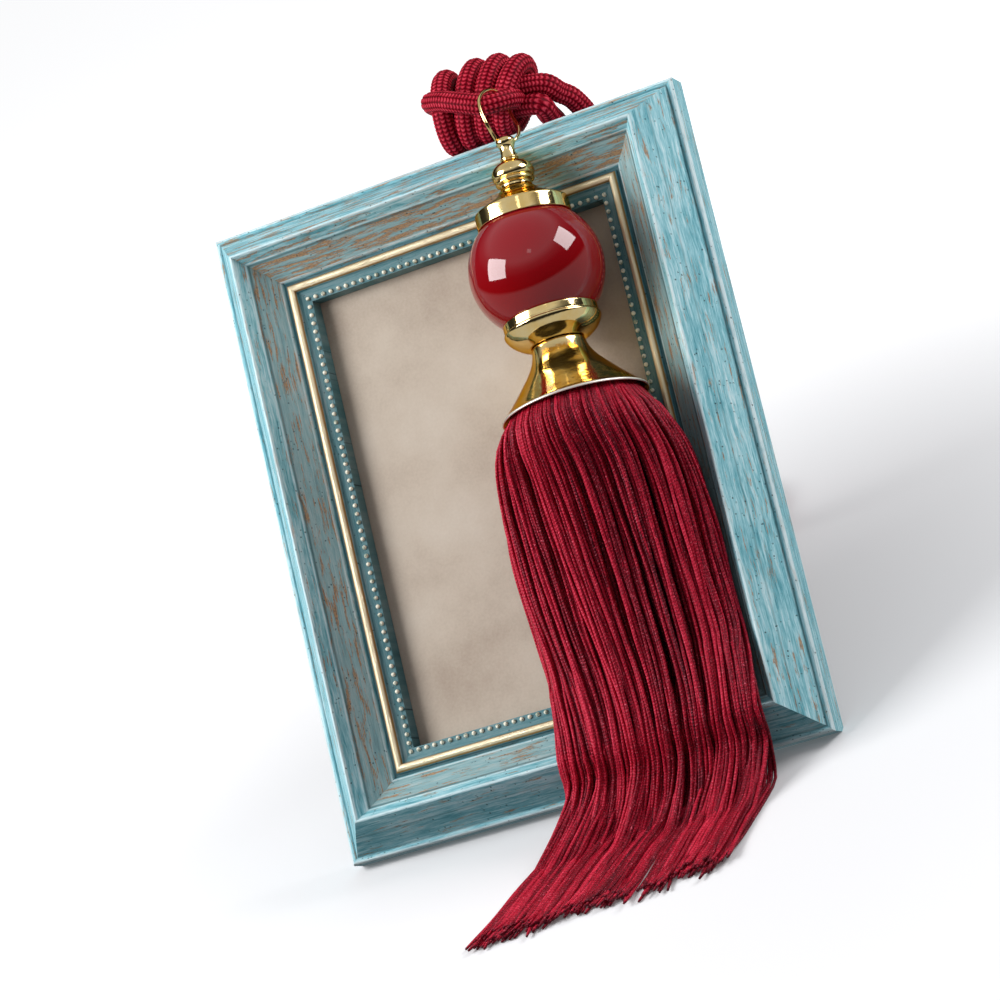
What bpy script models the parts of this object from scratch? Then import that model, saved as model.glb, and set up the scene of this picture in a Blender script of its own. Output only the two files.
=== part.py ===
"""A curtain tieback tassel lying over a leaning picture frame.

Lengths are in metres. Pieces on the frame are modelled upright, with x to the right, -y out of
the picture's face and z up it, and a parent empty leans them back. The origin is the middle of
the flat strip on which the bottom rail stands.
"""

import math

import bmesh
import bpy
import numpy as np
from mathutils import Vector

MM = 0.001
GAP = 0.0003

# Picture frame
LEAN = math.radians(35)
FRAME_WIDTH = 0.220
FRAME_HEIGHT = 0.2785
FRAME_DEPTH = 0.012
STANDING_STRIP = 0.003
BOARD_EDGE = 0.033
BOARD_FRONT = 0.0055
BOARD_THICKNESS = 0.003
LEG_WIDTH = 0.032
LEG_THICKNESS = 0.005
LEG_TOP = 0.205
LEG_JOINT_LENGTH = 0.023
LEG_FOOT_Y = 0.186
LEG_FOOT_LENGTH = 0.007

# Tassel, measured from the middle of its ball, on which the pieces above and below it turn
BALL_X = 0.0421
BALL_Y = -0.0244
BALL_Z = 0.2122
BALL_RADIUS = 0.0282
BELL_DROP = 0.0607
UPPER_ROLL = math.radians(0.9)
LOWER_ROLL = math.radians(3.2)
TASSEL_TILT = math.radians(1.67)
BALL_STEPS = (28, 16)
TURNED_STEPS = 28
FINIAL_STEPS = 20
BELL_STEPS = 32
SEAT_STEPS = 6

# Rope and ring
ROPE_RADIUS = 0.00475
KNOT_CORE_RADIUS = 0.0062
BAND_RADIUS = 0.0046
STUB_LENGTH = 0.008
WRAP_STEPS = 20
BAND_STEPS = 30
RING_WIRE = 0.00065
RING_TUNNEL = 0.00100
RING_STEPS = 44

# Fringe
STRAND_RADIUS = 0.00085
LAYER_HEIGHT = 0.0019
EDGE_CLEARANCE = 0.003
ROOT_DROP = 0.0591
LEAST_REACH = 0.068
EXTRA_REACH = 0.015
UNEVEN_ENDS = 0.003
FLOOR_STOPS = (0.22, 0.66, 1.0)
LAYER_STAGGER = 0.07
LEAST_SWEEP = 0.0155
EXTRA_SWEEP = 0.0225
SWEEP_CURVE = 0.8

# Rail section: distance in from the outer edge and height out of the face, in millimetres
RAIL_SECTION = (
    (0.0, -12.0),
    (0.0, -1.2),
    (0.7, 0.0),
    (2.0, 0.1),
    (2.8, -0.6),
    (3.7, 0.9),
    (9.3, 10.4),
    (14.6, 19.1),
    (15.5, 19.5),
    (16.4, 17.9),
    (19.0, 14.1),
    (24.0, 9.2),
    (29.3, 5.2),
    (30.0, 3.6),
    (31.2, 3.4),
    (31.8, 5.4),
    (33.3, 6.2),
    (34.8, 5.4),
    (35.4, 3.3),
    (40.6, 2.2),
    (40.6, -5.2),
    (33.0, -5.2),
    (33.0, -12.0),
)

# Turned profiles: radius and height above the ball's middle, in millimetres, top to bottom
FINIAL_PROFILE = (
    (0.0, 58.9),
    (2.2, 58.7),
    (3.7, 57.9),
    (4.2, 56.7),
    (3.8, 55.4),
    (3.1, 54.4),
    (3.0, 52.0),
    (3.4, 50.2),
    (3.7, 49.3),
    (3.5, 48.2),
    (5.2, 47.0),
    (7.8, 45.3),
    (8.9, 42.8),
    (8.8, 40.6),
    (8.1, 39.9),
    (8.2, 39.2),
    (7.4, 37.9),
    (6.7, 37.0),
    (6.7, 36.2),
    (0.0, 36.2),
)
CAP_OUTSIDE = (
    (0.0, 35.9),
    (7.0, 35.9),
    (8.4, 34.5),
    (9.8, 32.9),
    (12.8, 31.2),
    (15.8, 29.6),
    (18.5, 28.0),
    (19.6, 27.3),
    (19.8, 26.6),
    (19.8, 21.0),
    (19.3, 21.0),
)
CUP_OUTSIDE = (
    (19.5, -20.6),
    (20.0, -20.6),
    (19.8, -24.1),
    (20.5, -24.7),
    (20.5, -25.4),
    (20.0, -26.1),
    (18.9, -28.1),
    (16.9, -30.1),
    (14.3, -31.8),
    (12.4, -32.6),
    (0.0, -32.6),
)
BELL_PROFILE = (
    (0.0, -32.9),
    (11.3, -32.9),
    (11.5, -35.0),
    (12.8, -38.6),
    (15.4, -43.1),
    (19.2, -47.6),
    (23.1, -52.1),
    (27.0, -56.2),
    (30.3, -59.5),
    (31.0, -60.2),
    (31.0, -60.7),
    (30.3, -60.7),
    (29.1, -59.8),
    (25.9, -56.4),
    (21.9, -52.3),
    (18.0, -47.9),
    (0.0, -47.9),
)
PLUG_PROFILE = (
    (0.0, -57.5),
    (26.2, -57.5),
    (28.5, -59.9),
    (0.0, -59.9),
)

# Wraps of the knot, in millimetres: the rope's middle at the top and at the bottom of each
# upright loop, as x and z
KNOT_WRAPS = (
    {"top_x": 11.5, "top_z": 312.5, "bottom_x": 8.5},
    {"top_x": 26.0, "top_z": 312.7, "bottom_x": 16.5},
    {"top_x": 36.4, "top_z": 311.3, "bottom_x": 24.5},
    {"top_x": 46.4, "top_z": 307.7, "bottom_x": 32.5},
)
KNOT_CORE = ((9.0, 6.0, 298.5), (27.0, 6.0, 297.0), (43.0, 6.0, 294.5))
UPPER_STUB_INNER = (40.0, 1.5, 298.0)
LOWER_STUB_INNER = (38.0, 5.0, 291.0)
WRAP_BOTTOM_Z = 283.6
WRAP_MIDDLE_Y = 6.0
WRAP_HALF_DEPTH = 10.4

# Middle of the strand that binds the wraps, as x, y and z in millimetres; it closes on itself
BAND_ROUTE = (
    (4.6, -1.0, 303.2),
    (8.6, -7.0, 301.0),
    (14.2, -10.8, 298.7),
    (20.1, -12.8, 295.8),
    (26.3, -13.5, 292.9),
    (31.6, -13.0, 290.8),
    (36.0, -11.4, 290.6),
    (39.3, -8.0, 291.4),
    (40.9, -3.2, 292.4),
    (41.4, 3.0, 293.2),
    (40.6, 10.5, 294.2),
    (37.6, 17.0, 295.2),
    (33.0, 20.5, 296.5),
    (19.0, 20.5, 299.5),
    (8.0, 14.0, 302.0),
    (4.0, 6.0, 303.4),
)

# Middle of the wire ring, as x, y and z in millimetres; it closes on itself
RING_ROUTE = (
    (38.7, -23.1, 269.0),
    (37.6, -25.5, 273.0),
    (37.0, -28.0, 277.6),
    (36.1, -28.5, 282.8),
    (35.6, -26.6, 288.2),
    (36.1, -22.7, 292.0),
    (37.3, -18.6, 294.0),
    (38.4, -13.0, 294.6),
    (39.4, -7.7, 292.4),
    (39.7, -5.2, 287.1),
    (41.4, -7.3, 282.3),
    (44.1, -11.5, 277.6),
    (45.4, -15.9, 272.7),
    (44.5, -20.0, 269.3),
    (41.5, -21.9, 268.4),
)

# Middle of the rope behind the picture, from the knot down to the floor and back, in
# millimetres from the origin, with the lean already in it
ROPE_ROUTE = (
    (57.6, 167.0, 238.8),
    (61.4, 168.6, 233.4),
    (63.5, 171.3, 222.0),
    (62.5, 173.2, 205.0),
    (60.0, 174.5, 180.0),
    (57.0, 175.0, 150.0),
    (53.5, 175.0, 115.0),
    (50.0, 176.0, 80.0),
    (47.5, 178.5, 50.0),
    (46.0, 185.0, 26.0),
    (45.5, 196.0, 11.0),
    (45.0, 209.0, 5.3),
    (43.5, 222.0, 4.8),
    (37.0, 236.0, 4.8),
    (24.0, 242.5, 4.8),
    (11.0, 237.0, 4.8),
    (4.5, 225.0, 4.8),
    (7.0, 211.5, 5.0),
    (14.0, 199.5, 8.0),
    (21.5, 190.0, 16.0),
    (27.0, 182.5, 31.0),
    (31.0, 178.0, 52.0),
    (35.0, 175.0, 80.0),
    (39.0, 173.5, 115.0),
    (43.0, 172.5, 150.0),
    (47.0, 171.5, 180.0),
    (50.6, 171.2, 205.0),
    (51.1, 170.0, 218.0),
    (50.9, 167.0, 226.5),
    (50.5, 163.0, 232.6),
)
ROPE_STEPS = 56

# Sections of the fringe along the face, in millimetres: how far below the bell's rim, the middle
# and half of the width, and how far the front and the back stand out of the face. The last but
# one lies on the crest of the bottom rail.
FRINGE_SECTIONS = (
    {"down": 4.6, "middle_x": 45.8, "half_width": 32.2, "front": 58.0, "back": -4.4},
    {"down": 8.0, "middle_x": 45.9, "half_width": 37.4, "front": 58.5, "back": -4.4},
    {"down": 15.5, "middle_x": 45.3, "half_width": 41.7, "front": 56.5, "back": -4.4},
    {"down": 30.5, "middle_x": 44.7, "half_width": 44.5, "front": 48.0, "back": -4.4},
    {"down": 64.5, "middle_x": 44.0, "half_width": 44.8, "front": 38.0, "back": -4.4},
    {"down": 100.5, "middle_x": 44.9, "half_width": 45.0, "front": 32.5, "back": -4.4},
    {"down": 111.0, "middle_x": 46.6, "half_width": 45.0, "front": 31.0, "back": 6.4},
    {"down": 136.0, "middle_x": 48.3, "half_width": 45.0, "front": 29.0, "back": 22.5},
    {"down": 149.5, "middle_x": 45.5, "half_width": 45.0, "front": 24.0, "back": 9.5},
)
FRINGE_HALF_WIDTH = 45.0

# Rings of strands, in millimetres: the roots' radius, and how far the ring runs inside the
# fringe's outline. Each ring's back and front strands rest in their own layers on the floor.
STRAND_RINGS = (
    {"count": 60, "root_radius": 26.6, "inset": 0.0, "back_layer": 0, "front_layer": 3},
    {"count": 36, "root_radius": 23.0, "inset": 3.6, "back_layer": 1, "front_layer": 2},
)

FACE_Y = -(FRAME_DEPTH - STANDING_STRIP / 2 * math.cos(LEAN)) * math.cos(LEAN)
FACE_Y -= STANDING_STRIP / 2 * math.sin(LEAN) ** 2
STRIP_DEPTH = STANDING_STRIP * math.sin(LEAN) * math.cos(LEAN)
FACE_Z = FRAME_DEPTH * math.sin(LEAN) - STRIP_DEPTH


def clear_scene():
    for obj in list(bpy.data.objects):
        bpy.data.objects.remove(obj, do_unlink=True)


def material(name, color, roughness, metallic=0.0):
    made = bpy.data.materials.new(name)
    made.use_nodes = True
    shader = made.node_tree.nodes["Principled BSDF"]
    shader.inputs["Base Color"].default_value = (*color, 1.0)
    shader.inputs["Roughness"].default_value = roughness
    shader.inputs["Metallic"].default_value = metallic
    return made


def new_object(name, mesh, look=None, parent=None):
    obj = bpy.data.objects.new(name, mesh)
    bpy.context.scene.collection.objects.link(obj)
    if look:
        obj.data.materials.append(look)
    obj.parent = parent
    return obj


def new_empty(name, location, rotation, parent=None):
    empty = new_object(name, None, parent=parent)
    empty.location = location
    empty.rotation_euler = rotation
    return empty


def mesh_from(name, points, faces):
    mesh = bpy.data.meshes.new(name)
    mesh.from_pydata([tuple(point) for point in points], [], faces)
    mesh.update()
    return mesh


def make_helper(obj):
    obj.hide_render = True
    obj.display_type = "WIRE"


def add_boolean(obj, other, operation):
    modifier = obj.modifiers.new(f"{operation.lower()} {other.name}", "BOOLEAN")
    modifier.operation = operation
    modifier.object = other


def smooth_route(points, count, closed=False):
    """Points at even distances along a smooth curve through the route's own points."""
    knots = np.array(points, float) * MM
    if closed:
        knots = np.vstack([knots[-1], knots, knots[0], knots[1]])
    else:
        knots = np.vstack([2 * knots[0] - knots[1], knots, 2 * knots[-1] - knots[-2]])
    dense = []
    fractions = np.linspace(0, 1, 24, endpoint=False)[:, None]
    for before, start, end, after in zip(knots, knots[1:], knots[2:], knots[3:]):
        leaving = (end - before) / 2
        arriving = (after - start) / 2
        square = fractions**2
        cube = fractions**3
        dense.append(
            (2 * cube - 3 * square + 1) * start
            + (cube - 2 * square + fractions) * leaving
            + (3 * square - 2 * cube) * end
            + (cube - square) * arriving
        )
    dense = np.vstack([*dense, knots[-2][None]])
    steps = np.linalg.norm(np.diff(dense, axis=0), axis=1)
    along = np.concatenate([[0], np.cumsum(steps)])
    wanted = np.linspace(0, along[-1], count, endpoint=not closed)
    return np.stack([np.interp(wanted, along, dense[:, axis]) for axis in range(3)], axis=1)


def rope_curve(name, points, radius, resolution, closed=False):
    """A round rope or wire along the points."""
    curve = bpy.data.curves.new(name, "CURVE")
    curve.dimensions = "3D"
    curve.bevel_depth = radius
    curve.bevel_resolution = resolution
    curve.use_fill_caps = not closed
    spline = curve.splines.new("POLY")
    spline.points.add(len(points) - 1)
    for spot, point in zip(spline.points, points):
        spot.co = (*point, 1.0)
    spline.use_cyclic_u = closed
    return curve


def rope_mesh(name, points, radius, resolution, closed=False):
    """The same rope as a mesh, for joining to others or cutting them."""
    curve = rope_curve(name, points, radius, resolution, closed)
    holder = new_object(name + "_curve", curve)
    bpy.context.view_layer.update()
    graph = bpy.context.evaluated_depsgraph_get()
    mesh = bpy.data.meshes.new_from_object(holder.evaluated_get(graph))
    mesh.name = name
    bpy.data.objects.remove(holder)
    shaped = bmesh.new()
    shaped.from_mesh(mesh)
    bmesh.ops.remove_doubles(shaped, verts=shaped.verts, dist=1e-6)
    bmesh.ops.recalc_face_normals(shaped, faces=shaped.faces)
    shaped.to_mesh(mesh)
    shaped.free()
    return mesh


def turned_piece(name, profile, look, parent, steps=TURNED_STEPS):
    """Turns a profile of radius and height, in millimetres, about its own z."""
    points = [(radius * MM, 0, height * MM) for radius, height in profile]
    mesh = bpy.data.meshes.new(name)
    mesh.from_pydata(points, [(i, i + 1) for i in range(len(points) - 1)], [])
    obj = new_object(name, mesh, look, parent)
    screw = obj.modifiers.new("turn", "SCREW")
    screw.steps = steps
    screw.render_steps = steps
    screw.use_merge_vertices = True
    screw.merge_threshold = 1e-5
    screw.use_smooth_shade = True
    return obj


def seat_arc(start_height, end_height, count):
    """Radius and height, in millimetres, on a sphere just outside the ball's surface."""
    seat = (BALL_RADIUS + 1.5 * GAP) / MM
    start = math.asin(max(start_height / seat, -1))
    end = math.asin(min(end_height / seat, 1))
    turns = [start + (end - start) * i / count for i in range(count + 1)]
    return tuple((abs(seat * math.cos(turn)), seat * math.sin(turn)) for turn in turns)


def rail_height(inward):
    """Height of a rail's front out of the face, in metres, at a distance in from its edge."""
    front = [point for point in RAIL_SECTION if point[1] > -5]
    places = np.array([point[0] for point in front])
    heights = np.array([point[1] for point in front])
    return np.interp(inward / MM, places, heights, right=-BOARD_FRONT / MM) * MM


def face_height(x, z):
    """Greatest height of the frame's front or the board out of the face near a place on it."""
    near = (x - EDGE_CLEARANCE, x, x + EDGE_CLEARANCE)
    inward = [min(FRAME_WIDTH / 2 - abs(place), z, FRAME_HEIGHT - z) for place in near]
    return float(max(rail_height(np.maximum(inward, 0.0))))


def lean_back(x, y, z):
    """Turns an upright place on the picture into one that leans."""
    return (
        x,
        FACE_Y + y * math.cos(LEAN) + z * math.sin(LEAN),
        FACE_Z - y * math.sin(LEAN) + z * math.cos(LEAN),
    )


def make_rail(name, start, end, inward, look):
    """One mitred rail between two outer corners, cut flat where it meets the floor."""
    start = Vector(start)
    end = Vector(end)
    along = (end - start).normalized()
    inward = Vector(inward)
    mitre_gap = GAP * 0.75
    rows = []
    for corner, turn in ((start, 1), (end, -1)):
        row = []
        for distance, height in RAIL_SECTION:
            place = corner + inward * distance * MM + along * turn * (distance * MM + mitre_gap)
            row.append(lean_back(place.x, -height * MM, place.y))
        rows.append(row)
    count = len(RAIL_SECTION)
    shaped = bmesh.new()
    near, far = [[shaped.verts.new(point) for point in row] for row in rows]
    for i in range(count):
        j = (i + 1) % count
        shaped.faces.new((near[i], near[j], far[j], far[i]))
    shaped.faces.new(near)
    shaped.faces.new(far)
    everything = shaped.verts[:] + shaped.edges[:] + shaped.faces[:]
    cut = bmesh.ops.bisect_plane(
        shaped, geom=everything, plane_co=(0, 0, 0), plane_no=(0, 0, 1), clear_inner=True
    )
    rim = [item for item in cut["geom_cut"] if isinstance(item, bmesh.types.BMEdge)]
    if rim:
        bmesh.ops.holes_fill(shaped, edges=rim)
    bmesh.ops.recalc_face_normals(shaped, faces=shaped.faces)
    mesh = bpy.data.meshes.new(name)
    shaped.to_mesh(mesh)
    shaped.free()
    return new_object(name, mesh, look)


def make_rails(look):
    left = -FRAME_WIDTH / 2
    right = FRAME_WIDTH / 2
    top = FRAME_HEIGHT
    corners = {
        "bottom": ((left, 0), (right, 0), (0, 1)),
        "right": ((right, 0), (right, top), (-1, 0)),
        "top": ((right, top), (left, top), (0, -1)),
        "left": ((left, top), (left, 0), (1, 0)),
    }
    for side, (start, end, inward) in corners.items():
        make_rail("frame_rail_" + side, start, end, inward, look)


def make_board(look, parent):
    half_width = FRAME_WIDTH / 2 - BOARD_EDGE - GAP
    low = BOARD_EDGE + GAP
    high = FRAME_HEIGHT - BOARD_EDGE - GAP
    shaped = bmesh.new()
    bmesh.ops.create_cube(shaped, size=1)
    for vert in shaped.verts:
        vert.co.x *= 2 * half_width
        vert.co.y = BOARD_FRONT + (vert.co.y + 0.5) * BOARD_THICKNESS
        vert.co.z = low + (vert.co.z + 0.5) * (high - low)
    mesh = bpy.data.meshes.new("picture_board")
    shaped.to_mesh(mesh)
    shaped.free()
    return new_object("picture_board", mesh, look, parent)


def make_leg(look):
    """A prop from the middle of the board's back down to the floor."""
    back = BOARD_FRONT + BOARD_THICKNESS + GAP
    upper = lean_back(0, back, LEG_TOP)
    lower = lean_back(0, back, LEG_TOP - LEG_JOINT_LENGTH)
    side = [
        upper[1:],
        lower[1:],
        (LEG_FOOT_Y - LEG_FOOT_LENGTH, 0.0),
        (LEG_FOOT_Y, 0.0),
        (upper[1] + LEG_THICKNESS, upper[2] - LEG_THICKNESS / 2),
    ]
    half = LEG_WIDTH / 2
    points = [(x, y, z) for x in (-half, half) for y, z in side]
    count = len(side)
    faces = [tuple(range(count))[::-1], tuple(range(count, 2 * count))]
    for i in range(count):
        j = (i + 1) % count
        faces.append((i, j, j + count, i + count))
    mesh = mesh_from("easel_leg", points, faces)
    shaped = bmesh.new()
    shaped.from_mesh(mesh)
    bmesh.ops.recalc_face_normals(shaped, faces=shaped.faces)
    shaped.to_mesh(mesh)
    shaped.free()
    return new_object("easel_leg", mesh, look)


def make_ball(look, parent):
    shaped = bmesh.new()
    around, upward = BALL_STEPS
    bmesh.ops.create_uvsphere(shaped, u_segments=around, v_segments=upward, radius=BALL_RADIUS)
    mesh = bpy.data.meshes.new("ball")
    shaped.to_mesh(mesh)
    shaped.free()
    mesh.shade_smooth()
    return new_object("ball", mesh, look, parent)


def make_metal(gold, upper, lower, ring_cutter):
    finial = turned_piece("finial", FINIAL_PROFILE, gold, upper, FINIAL_STEPS)
    add_boolean(finial, ring_cutter, "DIFFERENCE")
    cap_seat = seat_arc(CAP_OUTSIDE[-1][1], BALL_RADIUS / MM + 1, SEAT_STEPS)
    turned_piece("cap", CAP_OUTSIDE[:-1] + cap_seat, gold, upper)
    cup_seat = seat_arc(-BALL_RADIUS / MM - 1, CUP_OUTSIDE[0][1], SEAT_STEPS)
    turned_piece("cup", cup_seat + CUP_OUTSIDE[1:], gold, lower)
    turned_piece("bell", BELL_PROFILE, gold, lower, BELL_STEPS)


def make_ring(look, parent):
    points = smooth_route(RING_ROUTE, RING_STEPS, closed=True)
    ring = new_object("ring", rope_curve("ring", points, RING_WIRE, 1, closed=True), look, parent)
    ring.data.splines[0].use_smooth = True
    cutter = new_object(
        "ring_tunnel", rope_mesh("ring_tunnel", points, RING_TUNNEL, 1, closed=True), parent=parent
    )
    make_helper(cutter)
    return cutter


def wrap_points(wrap):
    """Points round one upright loop of the knot."""
    top = Vector((wrap["top_x"], wrap["top_z"])) * MM
    bottom = Vector((wrap["bottom_x"], WRAP_BOTTOM_Z)) * MM
    middle = (top + bottom) / 2
    upward = (top - bottom) / 2
    points = []
    for i in range(WRAP_STEPS):
        turn = 2 * math.pi * i / WRAP_STEPS
        across = middle + upward * math.cos(turn)
        depth = (WRAP_MIDDLE_Y - WRAP_HALF_DEPTH * math.sin(turn)) * MM
        points.append((across.x, depth, across.y))
    return points


def stand_upright(place):
    """Turns a leaning place, in metres, back into an upright one on the picture."""
    y = place[1] - FACE_Y
    z = place[2] - FACE_Z
    return Vector(
        (
            place[0],
            y * math.cos(LEAN) - z * math.sin(LEAN),
            y * math.sin(LEAN) + z * math.cos(LEAN),
        )
    )


def stub_points(route, inner):
    """The last stretch of rope inside the knot, in line with the end of a route."""
    end = stand_upright(route[0])
    outward = (stand_upright(route[1]) - end).normalized()
    return [Vector(inner) * MM, end - outward * STUB_LENGTH, end - outward * GAP * 1.3]


def make_knot(look, parent, rope_points, ring_cutter):
    core_points = smooth_route(KNOT_CORE, 6)
    knot = new_object("knot", rope_mesh("knot", core_points, KNOT_CORE_RADIUS, 2), look, parent)
    strands = [
        rope_mesh(f"wrap_{i}", wrap_points(wrap), ROPE_RADIUS, 2, closed=True)
        for i, wrap in enumerate(KNOT_WRAPS)
    ]
    band_points = smooth_route(BAND_ROUTE, BAND_STEPS, closed=True)
    strands.append(rope_mesh("band", band_points, BAND_RADIUS, 2, closed=True))
    upper = stub_points(rope_points, UPPER_STUB_INNER)
    lower = stub_points(rope_points[::-1], LOWER_STUB_INNER)
    strands.append(rope_mesh("upper_stub", upper, BAND_RADIUS, 2))
    strands.append(rope_mesh("lower_stub", lower, BAND_RADIUS, 2))
    for mesh in strands:
        helper = new_object(mesh.name, mesh, parent=parent)
        make_helper(helper)
        add_boolean(knot, helper, "UNION")
    add_boolean(knot, ring_cutter, "DIFFERENCE")
    return knot


def ring_places(section, count, inset):
    """Places spaced evenly round a section, as x and height out of the face, in millimetres."""
    front = section["front"] - inset * 1.3
    back = section["back"] + inset
    turns = np.linspace(0, 2 * math.pi, 721)
    across = (section["half_width"] - inset) * np.cos(turns)
    out = (front + back) / 2 + (front - back) / 2 * np.sin(turns)
    steps = np.hypot(np.diff(across), np.diff(out))
    along = np.concatenate([[0], np.cumsum(steps)])
    wanted = (np.arange(count) + 0.5) / count * along[-1]
    return np.interp(wanted, along, across), np.interp(wanted, along, out)


def strand_path(index, places, root, layer, jitter):
    """The middle of one strand: its root, its run down the face and its rest on the floor."""
    path = [root]
    for section, (across, out) in zip(FRINGE_SECTIONS, places):
        x = (section["middle_x"] + across[index]) * MM
        z = BALL_Z - BELL_DROP - section["down"] * MM
        lift = STRAND_RADIUS + GAP + (layer == 1) * LAYER_HEIGHT
        height = max(out[index] * MM, face_height(x, max(z, 0)) + lift)
        path.append(Vector(lean_back(x, -height, z)))
    edge = path[-1]
    rest_z = STRAND_RADIUS / 2 + layer * LAYER_HEIGHT
    middle = FRINGE_SECTIONS[-1]["middle_x"]
    left_share = 0.5 - (edge.x / MM - middle) / (2 * FRINGE_HALF_WIDTH)
    sweep = LEAST_SWEEP + EXTRA_SWEEP * left_share
    for i, stop in enumerate(FLOOR_STOPS):
        share = stop + LAYER_STAGGER * layer if i == 0 else stop
        reach = LEAST_REACH + EXTRA_REACH * left_share + jitter * (i == 2)
        x = edge.x - sweep * share**SWEEP_CURVE
        path.append(Vector((x, FACE_Y - reach * share, rest_z)))
    return path


def strand_mesh(shaped, path):
    """Adds a closed three-sided strand along the path, which rests on one of its flat sides."""
    rows = []
    first_on_floor = len(path) - len(FLOOR_STOPS)
    for i, point in enumerate(path):
        before = path[max(i - 1, 0)]
        after = path[min(i + 1, len(path) - 1)]
        along = (after - before).normalized()
        if i >= first_on_floor:
            along = Vector((along.x, along.y, 0)).normalized()
        side = along.cross(Vector((0, -0.6, 0.8) if i < first_on_floor else (0, 0, 1))).normalized()
        out = side.cross(along)
        row = []
        for corner in range(3):
            turn = 2 * math.pi * corner / 3 + math.pi / 2
            offset = side * math.cos(turn) + out * math.sin(turn)
            row.append(shaped.verts.new(point + offset * STRAND_RADIUS))
        rows.append(row)
    for near, far in zip(rows, rows[1:]):
        for i in range(3):
            j = (i + 1) % 3
            shaped.faces.new((near[i], near[j], far[j], far[i]))
    shaped.faces.new(rows[0][::-1])
    shaped.faces.new(rows[-1])


def make_fringe(look, lower):
    """Strands in two rings, whose roots are fused into the plug in the bell's mouth."""
    bpy.context.view_layer.update()
    axis = lower.matrix_world
    fringe = turned_piece("fringe", PLUG_PROFILE, look, lower, BELL_STEPS)
    random = np.random.default_rng(7)
    shaped = bmesh.new()
    for ring in STRAND_RINGS:
        count = ring["count"]
        places = [ring_places(section, count, ring["inset"]) for section in FRINGE_SECTIONS]
        for index in range(count):
            turn = 2 * math.pi * (index + 0.5) / count
            side = Vector((math.cos(turn), -math.sin(turn), 0))
            root = axis @ (side * ring["root_radius"] * MM - Vector((0, 0, ROOT_DROP)))
            layer = ring["front_layer"] if turn < math.pi else ring["back_layer"]
            jitter = float(random.uniform(-UNEVEN_ENDS, UNEVEN_ENDS))
            strand_mesh(shaped, strand_path(index, places, root, layer, jitter))
    bmesh.ops.recalc_face_normals(shaped, faces=shaped.faces)
    mesh = bpy.data.meshes.new("strands")
    shaped.to_mesh(mesh)
    shaped.free()
    strands = new_object("strands", mesh)
    make_helper(strands)
    add_boolean(fringe, strands, "UNION")


def main():
    clear_scene()
    burgundy = material("burgundy yarn", (0.26, 0.012, 0.035), 0.45)
    gold = material("polished gold", (0.87, 0.62, 0.22), 0.16, 1.0)
    ruby = material("ruby resin", (0.36, 0.008, 0.02), 0.08)
    paint = material("turquoise paint", (0.18, 0.47, 0.53), 0.55)
    paper = material("plain paper", (0.62, 0.54, 0.45), 0.8)
    hardboard = material("hardboard", (0.16, 0.10, 0.06), 0.75)

    face = new_empty("picture_face", (0, FACE_Y, FACE_Z), (-LEAN, 0, 0))
    make_rails(paint)
    make_board(paper, face)
    make_leg(hardboard)

    place = (BALL_X, BALL_Y, BALL_Z)
    upper = new_empty("upper_axis", place, (-TASSEL_TILT, -UPPER_ROLL, 0), parent=face)
    lower = new_empty("lower_axis", place, (-TASSEL_TILT, -LOWER_ROLL, 0), parent=face)
    rope_points = smooth_route(ROPE_ROUTE, ROPE_STEPS)
    ring_cutter = make_ring(gold, face)
    make_ball(ruby, lower)
    make_metal(gold, upper, lower, ring_cutter)
    make_knot(burgundy, face, rope_points, ring_cutter)
    new_object("rope_loop", rope_curve("rope_loop", rope_points, ROPE_RADIUS, 3), burgundy)
    make_fringe(burgundy, lower)


main()
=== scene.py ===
import math

import bmesh
import bpy
import numpy as np
from mathutils import Euler, Matrix, Vector


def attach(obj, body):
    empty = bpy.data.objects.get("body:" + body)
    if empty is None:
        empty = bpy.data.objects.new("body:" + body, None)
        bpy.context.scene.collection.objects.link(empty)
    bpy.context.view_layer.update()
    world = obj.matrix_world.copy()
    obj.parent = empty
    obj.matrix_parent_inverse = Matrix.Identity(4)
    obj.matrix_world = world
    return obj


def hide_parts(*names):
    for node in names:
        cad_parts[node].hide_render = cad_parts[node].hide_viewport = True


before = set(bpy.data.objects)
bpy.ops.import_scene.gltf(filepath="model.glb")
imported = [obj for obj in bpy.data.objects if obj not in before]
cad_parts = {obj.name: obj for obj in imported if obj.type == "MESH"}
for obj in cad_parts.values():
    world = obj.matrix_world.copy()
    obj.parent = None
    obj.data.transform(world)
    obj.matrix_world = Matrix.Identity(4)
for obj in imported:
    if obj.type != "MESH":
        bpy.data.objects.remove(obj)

scene = bpy.context.scene
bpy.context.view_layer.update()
mm = 0.001
print("frame loaded,", len(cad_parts), "nodes")


# where things are: the leaning face, and on it the axes of what is above and below the ball
place = {
    "lean": math.radians(35),
    "width": 0.220,
    "height": 0.2785,
    "depth": 0.012,
    "standingStrip": 0.003,
    "boardFront": -5.5,
    "ball": (0.0421, -0.0244, 0.2122),
    "ballRadius": 0.0282,
    "bellDrop": 0.0607,
    "tilt": math.radians(1.67),
    "upperRoll": math.radians(0.9),
    "lowerRoll": math.radians(3.2),
}
leanCos = math.cos(place["lean"])
leanSin = math.sin(place["lean"])
faceY = -(place["depth"] - place["standingStrip"] / 2 * leanCos) * leanCos
faceY -= place["standingStrip"] / 2 * leanSin**2
faceZ = place["depth"] * leanSin - place["standingStrip"] * leanSin * leanCos
faceFrame = Matrix.Translation((0, faceY, faceZ)) @ Matrix.Rotation(-place["lean"], 4, "X")


def axisFrame(roll):
    turn = Euler((-place["tilt"], -roll, 0)).to_matrix().to_4x4()
    return faceFrame @ Matrix.Translation(place["ball"]) @ turn


upperFrame = axisFrame(place["upperRoll"])
lowerFrame = axisFrame(place["lowerRoll"])


def placed(matrix, points):
    table = np.array(matrix, float)
    return np.asarray(points, float) @ table[:3, :3].T + table[:3, 3]


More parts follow.
